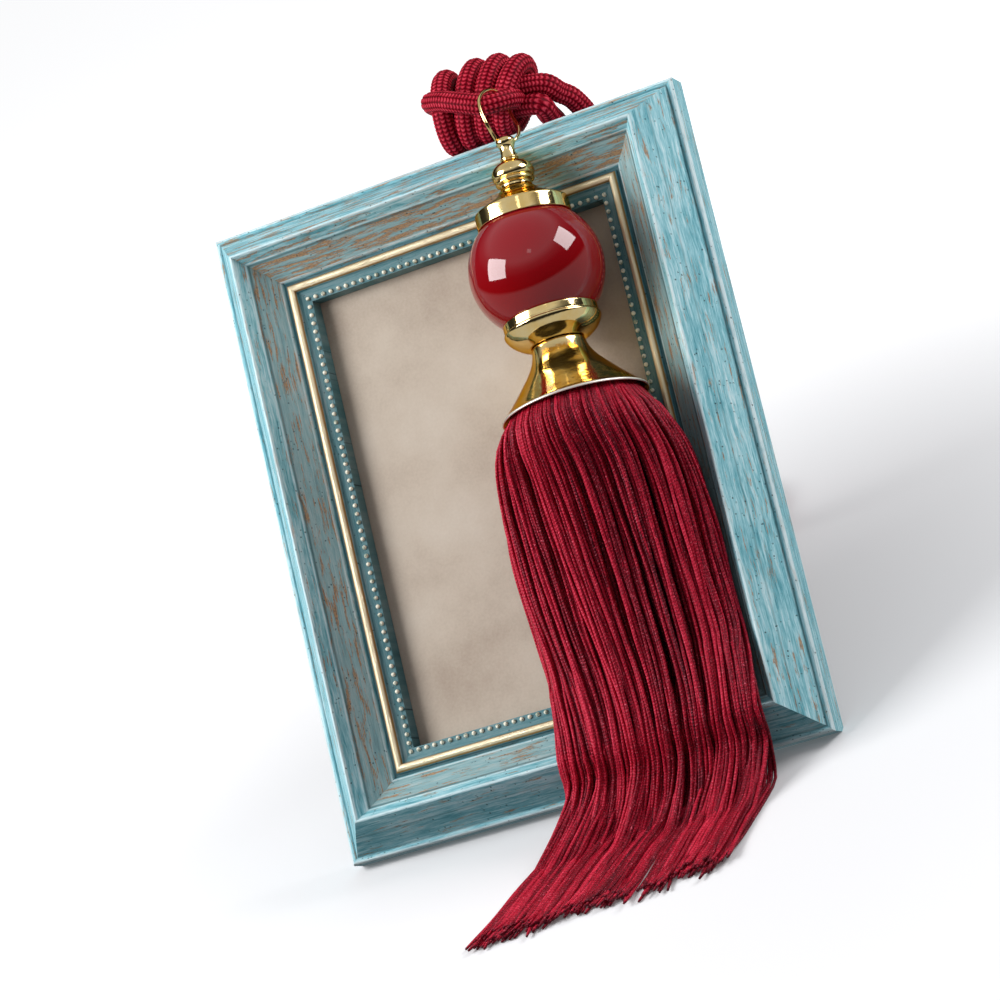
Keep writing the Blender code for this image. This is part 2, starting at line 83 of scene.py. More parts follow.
def onFace(points):  # from millimetres on the picture's face
    return placed(faceFrame, np.array(points) * mm)


# one socket; arithmetic on it adds the Math nodes
class Flow:
    def __init__(self, nodes, socket):
        self.nodes = nodes
        self.socket = socket

    def maths(self, operation, first, second):
        return self.nodes.add("Math", {"operation": operation}, {0: first, 1: second})

    def __add__(self, other):
        return self.maths("ADD", self, other)

    def __radd__(self, other):
        return self.maths("ADD", other, self)

    def __sub__(self, other):
        return self.maths("SUBTRACT", self, other)

    def __rsub__(self, other):
        return self.maths("SUBTRACT", other, self)

    def __mul__(self, other):
        return self.maths("MULTIPLY", self, other)

    def __rmul__(self, other):
        return self.maths("MULTIPLY", other, self)

    def __truediv__(self, other):
        return self.maths("DIVIDE", self, other)


# the nodes of a material or of the world
class Nodes:
    def __init__(self, tree):
        self.tree = tree

    def plug(self, socket, value):
        if isinstance(value, Flow):
            self.tree.links.new(value.socket, socket)
        elif isinstance(value, tuple) and len(value) == 3 and socket.type == "RGBA":
            socket.default_value = (*value, 1.0)
        else:
            socket.default_value = value

    def add(self, kind, settings, inputs, output=0):
        node = self.tree.nodes.new("ShaderNode" + kind)
        for key, value in settings.items():
            if key == "stops":
                ramp = node.color_ramp
                while len(ramp.elements) < len(value):
                    ramp.elements.new(0.5)
                for element, (position, color) in zip(ramp.elements, value):
                    element.position = position
                    element.color = (*color, 1.0)
            else:
                setattr(node, key, value)
        for key, value in inputs.items():
            self.plug(node.inputs[key], value)
        return Flow(self, node.outputs[output])

    def mix(self, share, first, second):
        return self.add("Mix", {"data_type": "RGBA"}, {0: share, 6: first, 7: second}, 2)

    def ramp(self, value, stops):
        return self.add("ValToRGB", {"stops": stops}, {"Fac": value}, "Color")

    def step(self, value, low, high):  # 0 below low, 1 above high, smooth between
        return self.add(
            "MapRange",
            {"interpolation_type": "SMOOTHSTEP"},
            {"Value": value, "From Min": low, "From Max": high},
        )

    def band(self, value, low, high, soft):  # 1 between low and high
        return self.step(value, low - soft, low + soft) * (
            1 - self.step(value, high - soft, high + soft)
        )

    def attribute(self, name):
        return self.add("Attribute", {"attribute_name": name}, {}, "Fac")

    def vector(self, x, y, z):
        return self.add("CombineXYZ", {}, {0: x, 1: y, 2: z})

    def noise(self, vector, scale, detail=3.0, roughness=0.55):
        inputs = {"Vector": vector, "Scale": scale, "Detail": detail, "Roughness": roughness}
        return self.add("TexNoise", {}, inputs, "Fac")

    def where(self):
        return self.add("TexCoord", {}, {}, "Object")


# a material, built up around its Principled shader
class Look(Nodes):
    def __init__(self, name, **values):
        self.material = bpy.data.materials.new(name)
        self.material.use_nodes = True
        super().__init__(self.material.node_tree)
        self.shader = self.tree.nodes["Principled BSDF"]
        for key, value in values.items():
            self.set(key.replace("_", " "), value)

    def set(self, key, value):
        self.plug(self.shader.inputs[key], value)

    def bump(self, height, strength, distance):
        inputs = {"Height": height, "Strength": strength, "Distance": distance}
        self.set("Normal", self.add("Bump", {}, inputs))


def smoothPath(points, count, closed=False):
    knots = np.array(points, float)
    if closed:
        knots = np.vstack([knots[-1], knots, knots[0], knots[1]])
    else:
        knots = np.vstack([2 * knots[0] - knots[1], knots, 2 * knots[-1] - knots[-2]])
    dense = []
    shares = np.linspace(0, 1, 24, endpoint=False)[:, None]
    for before, start, end, after in zip(knots, knots[1:], knots[2:], knots[3:]):
        leaving = (end - before) / 2
        arriving = (after - start) / 2
        square = shares**2
        cube = shares**3
        dense.append(
            (2 * cube - 3 * square + 1) * start
            + (cube - 2 * square + shares) * leaving
            + (3 * square - 2 * cube) * end
            + (cube - square) * arriving
        )
    return evenly(np.vstack([*dense, knots[-2][None]]), count, closed)


def evenly(points, count, closed):
    steps = np.linalg.norm(np.diff(points, axis=0), axis=1)
    along = np.concatenate([[0], np.cumsum(steps)])
    wanted = np.linspace(0, along[-1], count, endpoint=not closed)
    return np.stack([np.interp(wanted, along, points[:, k]) for k in range(3)], axis=1)


def pathLength(points, closed=False):
    if closed:
        points = np.vstack([points, points[:1]])
    return float(np.linalg.norm(np.diff(points, axis=0), axis=1).sum())


def rounded(profile):  # cuts the corners of a profile twice, keeping its ends
    points = np.array(profile, float)
    for _ in range(2):
        near = points[:-1] * 0.75 + points[1:] * 0.25
        far = points[:-1] * 0.25 + points[1:] * 0.75
        middle = np.stack([near, far], axis=1).reshape(-1, points.shape[1])[1:-1]
        points = np.vstack([points[:1], middle, points[-1:]])
    return points


def gridFaces(rows, columns, loopRows=False):  # each row is a closed ring
    row = np.arange(rows if loopRows else rows - 1)[:, None]
    column = np.arange(columns)[None, :]
    nextRow = (row + 1) % rows
    nextColumn = (column + 1) % columns
    corners = [
        row * columns + column,
        row * columns + nextColumn,
        nextRow * columns + nextColumn,
        nextRow * columns + column,
    ]
    return np.stack(np.broadcast_arrays(*corners), axis=-1).reshape(-1, 4)


def makePiece(name, points, faces, look, replaced, smoothAngle=None):
    mesh = bpy.data.meshes.new(name)
    mesh.from_pydata(np.asarray(points).tolist(), [], faces)
    mesh.validate()
    return pieceWith(mesh, look, replaced, smoothAngle)


def meshFrom(name, shaped):
    mesh = bpy.data.meshes.new(name)
    shaped.to_mesh(mesh)
    shaped.free()
    return mesh


def pieceWith(mesh, look, replaced, smoothAngle=None):
    mesh.shade_smooth()
    if smoothAngle:
        mesh.set_sharp_from_angle(angle=math.radians(smoothAngle))
    mesh.materials.append(look.material)
    piece = bpy.data.objects.new(mesh.name, mesh)
    scene.collection.objects.link(piece)
    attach(piece, "root")
    if replaced:
        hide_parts(*replaced)
    return piece


def setAttribute(piece, name, values):
    attribute = piece.data.attributes.new(name, "FLOAT", "POINT")
    attribute.data.foreach_set("value", np.asarray(values, np.float32).ravel())


def turnedMesh(profile, steps):  # radius and height, both ends on the axis
    profile = np.asarray(profile, float) * mm
    turns = np.linspace(0, 2 * math.pi, steps, endpoint=False)
    body = profile[1:-1]
    points = np.stack(
        [
            body[:, :1] * np.cos(turns),
            body[:, :1] * np.sin(turns),
            np.repeat(body[:, 1:], steps, axis=1),
        ],
        axis=-1,
    ).reshape(-1, 3)
    faces = gridFaces(len(body), steps)[:, ::-1].tolist()
    top = len(points)
    last = (len(body) - 1) * steps
    ends = [(0, 0, profile[0, 1]), (0, 0, profile[-1, 1])]
    for i in range(steps):
        j = (i + 1) % steps
        faces.append((top, i, j))
        faces.append((top + 1, last + j, last + i))
    return np.vstack([points, ends]), faces


# the camera stands where the photograph was taken

cameraSettings = {
    "position": (0.53099, -1.18057, 0.64181),
    "forward": (-0.36922, 0.85533, -0.36344),
    "up": (0.28308, 0.47600, 0.83264),
    "lens": 126.0,
    "sensor": 36.0,
    "farthest": 50,
}


def makeCamera():
    data = bpy.data.cameras.new("camera")
    data.lens = cameraSettings["lens"]
    data.sensor_width = cameraSettings["sensor"]
    data.clip_end = cameraSettings["farthest"]
    camera = bpy.data.objects.new("camera", data)
    scene.collection.objects.link(camera)
    forward = Vector(cameraSettings["forward"]).normalized()
    right = forward.cross(Vector(cameraSettings["up"])).normalized()
    up = right.cross(forward)
    turn = Matrix((right, up, -forward)).transposed().to_4x4()
    camera.matrix_world = Matrix.Translation(cameraSettings["position"]) @ turn
    scene.camera = camera


makeCamera()
print("camera placed")


# knitted rope: the loop behind the picture, and the knot

yarnShine = (1.0, 0.30, 0.42)
rope = {
    "radius": 0.00475,
    "wales": 11,
    "stitch": 0.0015,
    "relief": 0.00055,
    "slant": 0.9,
    "groove": 0.36,
    "stitchGap": 0.22,
    "around": 55,
    "rowsPerStitch": 4,
    "measurePoints": 1200,
    "intoKnot": 0.008,
    # colours by stitch height: painted shade in the hollows, painted highlights on the stitch crowns
    "dark": (0.050, 0.0004, 0.0025),
    "mid": (0.26, 0.0024, 0.012),
    "bright": (0.82, 0.070, 0.115),
}

# middle of the rope behind the picture, from the knot to the floor and back
ropeRoute = (
    (57.6, 167.0, 238.8), (61.4, 168.6, 233.4), (63.5, 171.3, 222.0), (62.5, 173.2, 205.0),
    (60.0, 174.5, 180.0), (57.0, 175.0, 150.0), (53.5, 175.0, 115.0), (50.0, 176.0, 80.0),
    (47.5, 178.5, 50.0), (46.0, 185.0, 26.0), (45.5, 196.0, 11.0), (45.0, 209.0, 5.3),
    (43.5, 222.0, 4.8), (37.0, 236.0, 4.8), (24.0, 242.5, 4.8), (11.0, 237.0, 4.8),
    (4.5, 225.0, 4.8), (7.0, 211.5, 5.0), (14.0, 199.5, 8.0), (21.5, 190.0, 16.0),
    (27.0, 182.5, 31.0), (31.0, 178.0, 52.0), (35.0, 175.0, 80.0), (39.0, 173.5, 115.0),
    (43.0, 172.5, 150.0), (47.0, 171.5, 180.0), (50.6, 171.2, 205.0), (51.1, 170.0, 218.0),
    (50.9, 167.0, 226.5), (50.5, 163.0, 232.6),
)

# the knot, on the face: x across, y into it, z up it, in millimetres
knotWraps = (  # the top's x and z, and the bottom's x
    (11.5, 312.5, 8.5), (26.0, 312.7, 16.5), (36.4, 311.3, 24.5), (46.4, 307.7, 32.5),
)
knotShape = {
    "bottomZ": 283.6,
    "middleY": 6.0,
    "halfDepth": 10.4,
    "points": 20,
    "measurePoints": 200,
    "corePoints": 81,
    "bandRadius": 0.0046,
    "coreRadius": 0.0062,
}
knotCore = ((9.0, 6.0, 298.5), (27.0, 6.0, 297.0), (43.0, 6.0, 294.5))
knotStubs = ((40.0, 1.5, 298.0), (38.0, 5.0, 291.0))
bandRoute = (
    (4.6, -1.0, 303.2), (8.6, -7.0, 301.0), (14.2, -10.8, 298.7), (20.1, -12.8, 295.8),
    (26.3, -13.5, 292.9), (31.6, -13.0, 290.8), (36.0, -11.4, 290.6), (39.3, -8.0, 291.4),
    (40.9, -3.2, 292.4), (41.4, 3.0, 293.2), (40.6, 10.5, 294.2), (37.6, 17.0, 295.2),
    (33.0, 20.5, 296.5), (19.0, 20.5, 299.5), (8.0, 14.0, 302.0), (4.0, 6.0, 303.4),
)


def pathFrames(line, closed):
    if closed:
        along = np.roll(line, -1, axis=0) - np.roll(line, 1, axis=0)
    else:
        along = np.gradient(line, axis=0)
    along /= np.linalg.norm(along, axis=1)[:, None]
    side = np.zeros_like(along)
    start = np.array([0.05, -0.3, 1.0])  # sideways of the first point, roughly
    for i, direction in enumerate(along):
        start = start - direction * (start @ direction)
        start /= np.linalg.norm(start)
        side[i] = start
    if closed:  # spread the leftover turn, so that the ends meet
        back = start - along[0] * (start @ along[0])
        back /= np.linalg.norm(back)
        left = math.atan2(np.dot(np.cross(side[0], back), along[0]), side[0] @ back)
        turn = (-left * np.arange(len(line)) / len(line))[:, None]
        side = side * np.cos(turn) + np.cross(along, side) * np.sin(turn)
    return side, np.cross(along, side)


def tubePoints(line, side, across, turns, reach):
    return (
        line[:, None, :]
        + side[:, None, :] * (reach * np.cos(turns))[..., None]
        + across[:, None, :] * (reach * np.sin(turns))[..., None]
    )


def knitRows(length, closed):
    stitches = max(round(length / rope["stitch"]), 4)
    return stitches * rope["rowsPerStitch"] + (0 if closed else 1)


def knitSurface(line, radius, closed):
    # ribs run along the rope, and each rib is a column of slanting stitches
    side, across = pathFrames(line, closed)
    turns = np.linspace(0, 2 * math.pi, rope["around"], endpoint=False)
    rib = turns * rope["wales"] / (2 * math.pi)
    fromMiddle = (rib - np.floor(rib) - 0.5)[None, :]
    stitch = (np.arange(len(line)) / rope["rowsPerStitch"])[:, None]
    loop = np.abs(np.cos(math.pi * (stitch + np.abs(fromMiddle) * rope["slant"])))
    crown = np.abs(np.cos(math.pi * fromMiddle)) ** 0.4
    crown = rope["groove"] + (1 - rope["groove"]) * crown
    height = crown * (rope["stitchGap"] + (1 - rope["stitchGap"]) * loop)
    reach = radius - rope["relief"] * (1 - height)
    return tubePoints(line, side, across, turns, reach), height


def joinTubes(tubes):
    around = rope["around"]
    points = []
    faces = []
    heights = []
    start = 0
    for rows, height, closed in tubes:
        count = len(rows)
        points.append(rows.reshape(-1, 3))
        heights.append(height.ravel())
        faces += (gridFaces(count, around, loopRows=closed) + start).tolist()
        if not closed:
            faces.append(list(range(start, start + around))[::-1])
            last = start + (count - 1) * around
            faces.append(list(range(last, last + around)))
        start += count * around
    return np.vstack(points), faces, np.concatenate(heights)


def ropeLook():
    look = Look("knitted burgundy rope", Roughness=0.42, Specular_IOR_Level=0.12)
    look.set("Specular Tint", yarnShine)
    height = look.attribute("stitchHeight")
    where = look.where()
    uneven = look.noise(where, 160.0, 3.0)
    fibres = look.noise(where, 2600.0, 2.0)
    # painted light: the colour follows the stitches' height, with painted shade in the hollows and
    # painted highlights on the crowns
    lift = height * 0.80 + uneven * 0.34 - 0.16 + fibres * 0.16
    stops = [(0.22, rope["dark"]), (0.58, rope["mid"]), (0.96, rope["bright"])]
    look.set("Base Color", look.ramp(lift, stops))
    look.set("Roughness", 0.34 + 0.25 * fibres)
    look.bump(fibres, 0.35, 0.0002)
    return look


def wrapLine(topX, topZ, bottomX):
    top = np.array((topX, topZ))
    bottom = np.array((bottomX, knotShape["bottomZ"]))
    points = []
    for i in range(knotShape["points"]):
        turn = 2 * math.pi * i / knotShape["points"]
        x, z = (top + bottom) / 2 + (top - bottom) / 2 * math.cos(turn)
        points.append((x, knotShape["middleY"] - knotShape["halfDepth"] * math.sin(turn), z))
    return onFace(points)


def closedTube(points, radius):
    rough = smoothPath(points, knotShape["measurePoints"], closed=True)
    line = smoothPath(points, knitRows(pathLength(rough, True), True), closed=True)
    return (*knitSurface(line, radius, True), True)


def makeRope():
    look = ropeLook()
    route = np.array(ropeRoute) * mm
    inner = onFace(knotStubs)
    into = []
    for end, after in ((route[0], route[1]), (route[-1], route[-2])):
        into.append(end - (after - end) / np.linalg.norm(after - end) * rope["intoKnot"])
    whole = np.vstack([inner[0], into[0], route, into[1], inner[1]])
    rough = smoothPath(whole, rope["measurePoints"])
    line = smoothPath(whole, knitRows(pathLength(rough), False))
    surface, height = knitSurface(line, rope["radius"], False)
    first = int(np.argmin(np.linalg.norm(line - route[0], axis=1)))
    last = int(np.argmin(np.linalg.norm(line - route[-1], axis=1)))
    free = slice(first, last + 1)
    points, faces, heights = joinTubes([(surface[free], height[free], False)])
    loop = makePiece("ropeLoop", points, faces, look, ["rope_loop"])
    setAttribute(loop, "stitchHeight", heights)
    tubes = [(surface[: first + 1], height[: first + 1], False)]
    tubes.append((surface[last:], height[last:], False))
    tubes += [closedTube(wrapLine(*wrap), rope["radius"]) for wrap in knotWraps]
    tubes.append(closedTube(onFace(bandRoute), knotShape["bandRadius"]))
    core = smoothPath(onFace(knotCore), knotShape["corePoints"])
    tubes.append((*knitSurface(core, knotShape["coreRadius"], False), False))
    points, faces, heights = joinTubes(tubes)
    knot = makePiece("knotRope", points, faces, look, ["knot"])
    setAttribute(knot, "stitchHeight", heights)
    print("rope knitted,", round(pathLength(line[free]), 3), "m of it free")


makeRope()


# picture frame: painted rails with a gold line, a row of beads, and plain paper
rails = {
    "rows": 40,
    "softEdge": 0.35,
    "mitreGap": 0.00002,
    "sharpAngle": 50,
    "pale": (0.66, 0.83, 0.87),
    "light": (0.30, 0.60, 0.67),
    "mid": (0.10, 0.37, 0.45),
    "deep": (0.014, 0.095, 0.115),
    "grey": (0.26, 0.33, 0.32),
    "wood": (0.23, 0.115, 0.055),
    "ochre": (0.50, 0.25, 0.075),
    "slip": (0.030, 0.085, 0.095),
    # painted shade for the grooves
    "groove": (0.010, 0.062, 0.075),
    # painted highlight colour for the pale lines on the edges and ridges
    "rubbedAndHighlit": (0.80, 0.90, 0.92),
    "fleck": (0.012, 0.045, 0.060),
    "gold": (0.98, 0.87, 0.62),
    "goldEdge": (0.42, 0.22, 0.060),
    "age": {"Bottom": 0.01, "Right": 0.03, "Top": 0.08, "Left": 0.03},
    # where these lie, in millimetres in from the outer edge
    "innerSlope": (19.6, 29.2),
    "slipFrom": (35.0, 35.4),
    "goldLine": (31.6, 35.1),
    "goldRidge": (32.3, 34.6),
}
# lines along the rails: from, to, softness and strength
# painted shade: dark lines in the grooves
paintedShadeLines = (
    (2.4, 3.2, 0.4, 0.45), (9.3, 9.7, 0.2, 0.35), (19.5, 20.3, 0.3, 0.6), (29.9, 31.5, 0.3, 0.85),
)
# painted highlight: pale lines on the edges and ridges
paintedHighlightLines = (
    (-1.0, 1.2, 0.5, 0.75), (14.7, 16.1, 0.25, 0.6), (18.8, 19.3, 0.2, 0.5), (28.9, 29.6, 0.2, 0.6),
)
# distance in from the outer edge and height out of the face, in millimetres
railSection = (
    (0.0, -12.0), (0.0, -1.2), (0.7, 0.0), (2.0, 0.1), (2.8, -0.6), (3.7, 0.9), (9.3, 10.4),
    (14.6, 19.1), (15.5, 19.5), (16.4, 17.9), (19.0, 14.1), (24.0, 9.2), (29.3, 5.2),
    (30.0, 3.6), (31.2, 3.4), (31.8, 5.4), (33.3, 6.2), (34.8, 5.4), (35.4, 3.3),
    (40.6, 2.2), (40.6, -5.2), (33.0, -5.2), (33.0, -12.0),
)


def softened(profile, reach):  # rounds each corner by no more than the reach
    points = np.array(profile, float)
    soft = [points[0]]
    for before, corner, after in zip(points, points[1:], points[2:]):
        near = before - corner
        far = after - corner
        near *= min(reach / np.linalg.norm(near), 0.45)
        far *= min(reach / np.linalg.norm(far), 0.45)
        soft += [corner + near, corner + (near + far) / 4, corner + far]
    return np.array([*soft, points[-1]])


def railHeight(inward):
    front = np.array([row for row in railSection if row[1] > place["boardFront"] + 0.5])[1:]
    heights = np.interp(inward / mm, front[:, 0], front[:, 1], right=place["boardFront"])
    return heights * mm


def railLook(name, seed, age):
    look = Look(name, Roughness=0.5, Specular_IOR_Level=0.35)
    inward = look.attribute("inward")
    along = look.attribute("along")

    def streak(length, across, layer, detail, roughness=0.55):
        return look.noise(look.vector(along * length, across, seed + layer), 1.0, detail, roughness)

    wavy = inward + streak(0.04, inward * 0.1, 0.0, 2.0) * 1.6
    streaks = streak(0.045, wavy * 0.95, 1.0, 4.0, 0.66)
    fine = streak(0.14, wavy * 2.6, 7.0, 4.0, 0.66)
    broad = streak(0.02, inward * 0.22, 3.0, 2.0)
    grain = streak(0.9, inward * 2.4, 5.0, 3.0)
    tone = streaks * 1.1 + fine * 0.8 + broad * 0.45 - 0.66
    shades = zip((0.10, 0.32, 0.54, 0.80), ("deep", "mid", "light", "pale"))
    paint = look.ramp(tone, [(position, rails[shade]) for position, shade in shades])
    # the inner slope is rubbed grey, and the slip is darker
    inner = look.band(inward, *rails["innerSlope"], 0.5)
    paint = look.mix(inner * (0.35 + 0.45 * streaks), paint, rails["grey"])
    slip = look.step(inward, *rails["slipFrom"])
    paint = look.mix(slip * 0.72, paint, rails["slip"])
    # paint worn through to the wood in long streaks
    patches = streak(0.05, wavy * 0.65, 9.0, 5.0, 0.68)
    wear = patches * 0.95 + fine * 0.40 + inner * 0.05 + age
    wearAndRimHighlight = look.step(wear, 0.775, 0.85) * (1 - slip)
    wood = look.mix(look.step(grain, 0.35, 0.65), rails["wood"], rails["ochre"])
    paint = look.mix(wearAndRimHighlight * 0.85, paint, wood)
    # painted shade: dark lines in the grooves, and painted highlights: pale lines on the edges and
    # ridges
    for low, high, soft, share in paintedShadeLines:
        paint = look.mix(look.band(inward, low, high, soft) * share, paint, rails["groove"])
    # the painted highlights are broken up along the rails
    rubbedAndHighlit = look.step(fine, 0.25, 0.5)
    for low, high, soft, share in paintedHighlightLines:
        paint = look.mix(look.band(inward, low, high, soft) * rubbedAndHighlit * share, paint, rails["rubbedAndHighlit"])
    # dark flecks
    spots = {"Vector": look.vector(along * 0.36, inward * 0.55, seed), "Scale": 1.0}
    fleck = 1 - look.step(look.add("TexVoronoi", {}, spots, "Distance"), 0.09, 0.19)
    fleck = fleck * look.step(grain, 0.40, 0.54)
    paint = look.mix(fleck * 0.85, paint, rails["fleck"])
    # the gold line, brown at its edges
    gold = look.band(inward, *rails["goldLine"], 0.1)
    ridge = look.band(inward, *rails["goldRidge"], 0.4)
    goldColor = look.mix(ridge * (0.65 + 0.35 * fine), rails["goldEdge"], rails["gold"])
    look.set("Base Color", look.mix(gold, paint, goldColor))
    look.set("Metallic", gold * 0.6)
    look.set("Roughness", 0.50 + 0.2 * grain - 0.15 * gold)
    look.bump(streaks * 0.5 + fine * 0.5 + grain * 0.3 - fleck * 0.6 - wearAndRimHighlight * 0.5, 0.6, 0.0005)
    return look


def makeRail(name, start, end, inward, look, replaced):
    profile = np.vstack([softened(railSection[:-3], rails["softEdge"]), railSection[-3:]])
    start, end, inward = (np.array(point, float) for point in (start, end, inward))
    along = (end - start) / np.linalg.norm(end - start)
    share = np.linspace(0, 1, rails["rows"])[:, None]
    distance = profile[:, 0] * mm
    near = start + inward * distance[:, None] + along * (distance[:, None] + rails["mitreGap"])
    far = end + inward * distance[:, None] - along * (distance[:, None] + rails["mitreGap"])
    flat = near[None] * (1 - share[..., None]) + far[None] * share[..., None]
    height = np.broadcast_to(profile[:, 1] * mm, flat.shape[:2])
    points = np.stack([flat[..., 0], -height, flat[..., 1]], axis=-1).reshape(-1, 3)
    columns = len(profile)
    faces = gridFaces(rails["rows"], columns).tolist()
    faces.append(list(range(columns))[::-1])
    faces.append(list(range(len(points) - columns, len(points))))
    shaped = bmesh.new()
    verts = [shaped.verts.new(point) for point in placed(faceFrame, points)]
    for face in faces:
        shaped.faces.new([verts[i] for i in face])
    everything = shaped.verts[:] + shaped.edges[:] + shaped.faces[:]
    cut = bmesh.ops.bisect_plane(
        shaped, geom=everything, plane_co=(0, 0, 0), plane_no=(0, 0, 1), clear_inner=True
    )
    rim = [item for item in cut["geom_cut"] if isinstance(item, bmesh.types.BMEdge)]
    if rim:
        bmesh.ops.holes_fill(shaped, edges=rim)
    bmesh.ops.recalc_face_normals(shaped, faces=shaped.faces)
    mesh = meshFrom(name, shaped)
    piece = pieceWith(mesh, look, [replaced], rails["sharpAngle"])
    spots = np.array([vert.co for vert in piece.data.vertices])
    spots = placed(faceFrame.inverted(), spots)
    down = np.clip(spots[:, 1], 0, place["depth"])
    spots = spots[:, [0, 2]]
    distance = (spots - start) @ inward
    isBack = down > place["depth"] - 0.1 * mm
    distance = np.where(isBack, -place["depth"] - distance, distance)  # counts on over the edge
    distance = np.where(~isBack & (distance < 0.01 * mm), -down, distance)
    setAttribute(piece, "inward", distance / mm)
    setAttribute(piece, "along", (spots - start) @ along / mm)


def makeRails():
    half = place["width"] / 2
    top = place["height"]
    corners = {
        "Bottom": ((-half, 0), (half, 0), (0, 1)),
        "Right": ((half, 0), (half, top), (-1, 0)),
        "Top": ((half, top), (-half, top), (0, -1)),
        "Left": ((-half, top), (-half, 0), (1, 0)),
    }
    for seed, (side, (start, end, inward)) in enumerate(corners.items()):
        look = railLook("turquoise paint " + side.lower(), 10.0 * seed, rails["age"][side])
        makeRail("rail" + side, start, end, inward, look, "frame_rail_" + side.lower())
    print("frame painted")


makeRails()

beads = {
    "inward": 39.2,
    "height": 2.9,
    "radius": 0.95,
    "pitch": 3.7,
    "around": 12,
    "upward": 8,
    "cream": (0.88, 0.85, 0.70),
    "rubbedAndHighlit": (0.30, 0.36, 0.28),
}


def makeBeads():
    look = Look("cream bead paint", Roughness=0.3)
    where = look.where()
    # rubbed spots on the beads, darker than the cream
    rubbedAndHighlit = look.step(look.noise(where, 420.0, 3.0), 0.50, 0.62)
    look.set("Base Color", look.mix(rubbedAndHighlit, beads["cream"], beads["rubbedAndHighlit"]))
    look.set("Roughness", 0.25 + 0.3 * rubbedAndHighlit)
    look.bump(look.noise(where, 1400.0, 2.0), 0.2, 0.0003)
    low = beads["inward"] * mm
    halfX = place["width"] / 2 - low
    high = place["height"] - low
    corners = [(-halfX, low), (halfX, low), (halfX, high), (-halfX, high)]
    shaped = bmesh.new()
    for start, end in zip(corners, corners[1:] + corners[:1]):
        count = round(math.dist(start, end) / (beads["pitch"] * mm))
        for i in range(count):
            x = start[0] + (end[0] - start[0]) * i / count
            z = start[1] + (end[1] - start[1]) * i / count
            spot = Matrix.Translation((x, -beads["height"] * mm, z))
            bmesh.ops.create_uvsphere(
                shaped, u_segments=beads["around"], v_segments=beads["upward"],
                radius=beads["radius"] * mm, matrix=faceFrame @ spot,
            )
    pieceWith(meshFrom("beadRow", shaped), look, ())
    print("beads set")


makeBeads()


ball = {
    "around": 128,
    "upward": 84,
    # painted light: pale at the top and lighter low down, as the light falls; deep red in the middle
    "pale": (0.245, 0.0050, 0.0100),
    "deep": (0.225, 0.0008, 0.0020),
    "low": (0.32, 0.0022, 0.0050),
    # heights over its middle where the colour changes, painted light making it lighter towards the top
    # and the bottom
    "bottomLightFade": (-0.026, -0.002),
    "topLightFade": (0.002, 0.030),
}


def makeBall():
    look = Look("ruby resin", Roughness=0.05, IOR=1.50, Coat_Weight=0.2, Coat_Roughness=0.01)
    where = look.where()
    upward = look.add("SeparateXYZ", {}, {0: where}, "Z")
    cloud = look.noise(where, 55.0, 2.0) * 0.010
    height = upward + cloud - lowerFrame.translation.z
    # painted light: lighter towards the top and the bottom, as the light falls on the resin
    color = look.mix(look.step(height, *ball["bottomLightFade"]), ball["low"], ball["deep"])
    color = look.mix(look.step(height, *ball["topLightFade"]), color, ball["pale"])
    look.set("Base Color", color)
    look.set("Roughness", 0.03 + 0.03 * look.noise(where, 160.0, 2.0))
    shaped = bmesh.new()
    bmesh.ops.create_uvsphere(
        shaped, u_segments=ball["around"], v_segments=ball["upward"], radius=place["ballRadius"]
    )
    bmesh.ops.transform(shaped, matrix=lowerFrame, verts=shaped.verts)
    pieceWith(meshFrom("rubyBall", shaped), look, ["ball"])
    print("ball made")


makeBall()


# turned gold pieces: radius and height above the ball's middle, in millimetres

metal = {
    "steps": 112,
    "rich": (0.95, 0.60, 0.14),
    "pale": (1.0, 0.87, 0.52),
    "edge": (0.56, 0.34, 0.12),
    # painted highlight colour for the bell's rim
    "wearAndRimHighlight": (0.96, 0.93, 0.86),
    "rimRadius": 30.5,
    "holeRadius": 1.25,
    "holeLength": 30,
    "holeSides": 32,
    "seatGap": 0.3,
    "seatSteps": 24,
    "sharpAngle": 35,
}
finialProfile = (
    (0.0, 58.9), (2.2, 58.7), (3.7, 57.9), (4.2, 56.7), (3.8, 55.4), (3.1, 54.4), (3.0, 52.0),
    (3.4, 50.2), (3.6, 49.5), (3.9, 49.3), (3.9, 48.9), (3.5, 48.6), (3.5, 48.2), (4.2, 47.7),
    (6.0, 46.9), (7.9, 45.5), (8.9, 43.6), (9.0, 42.0), (8.6, 40.6), (8.0, 40.1), (7.6, 39.9),
    (7.6, 39.6), (8.0, 39.5), (8.3, 39.2), (8.2, 38.6), (7.6, 38.0), (6.9, 37.7), (6.7, 37.3),
    (6.7, 36.2), (0.0, 36.2),
)
capProfile = (
    (0.0, 35.9), (6.8, 35.9), (7.0, 35.9), (7.3, 35.7), (8.2, 34.7), (9.8, 32.9), (12.8, 31.2),
    (15.8, 29.6), (18.3, 28.2), (19.3, 27.7), (19.7, 27.3), (19.8, 27.0), (19.8, 26.0),
    (19.8, 22.0), (19.8, 21.3), (19.75, 21.05), (19.5, 21.0),
)
cupProfile = (
    (19.5, -20.6), (19.8, -20.6), (20.0, -20.8), (20.0, -21.2), (19.9, -23.4), (19.8, -24.0),
    (19.9, -24.2), (20.3, -24.4), (20.5, -24.8), (20.5, -25.2), (20.3, -25.8), (20.0, -26.4),
    (19.3, -27.6), (18.4, -28.7), (16.9, -30.1), (14.8, -31.5), (13.2, -32.2), (12.6, -32.5),
    (12.2, -32.6), (0.0, -32.6),
)
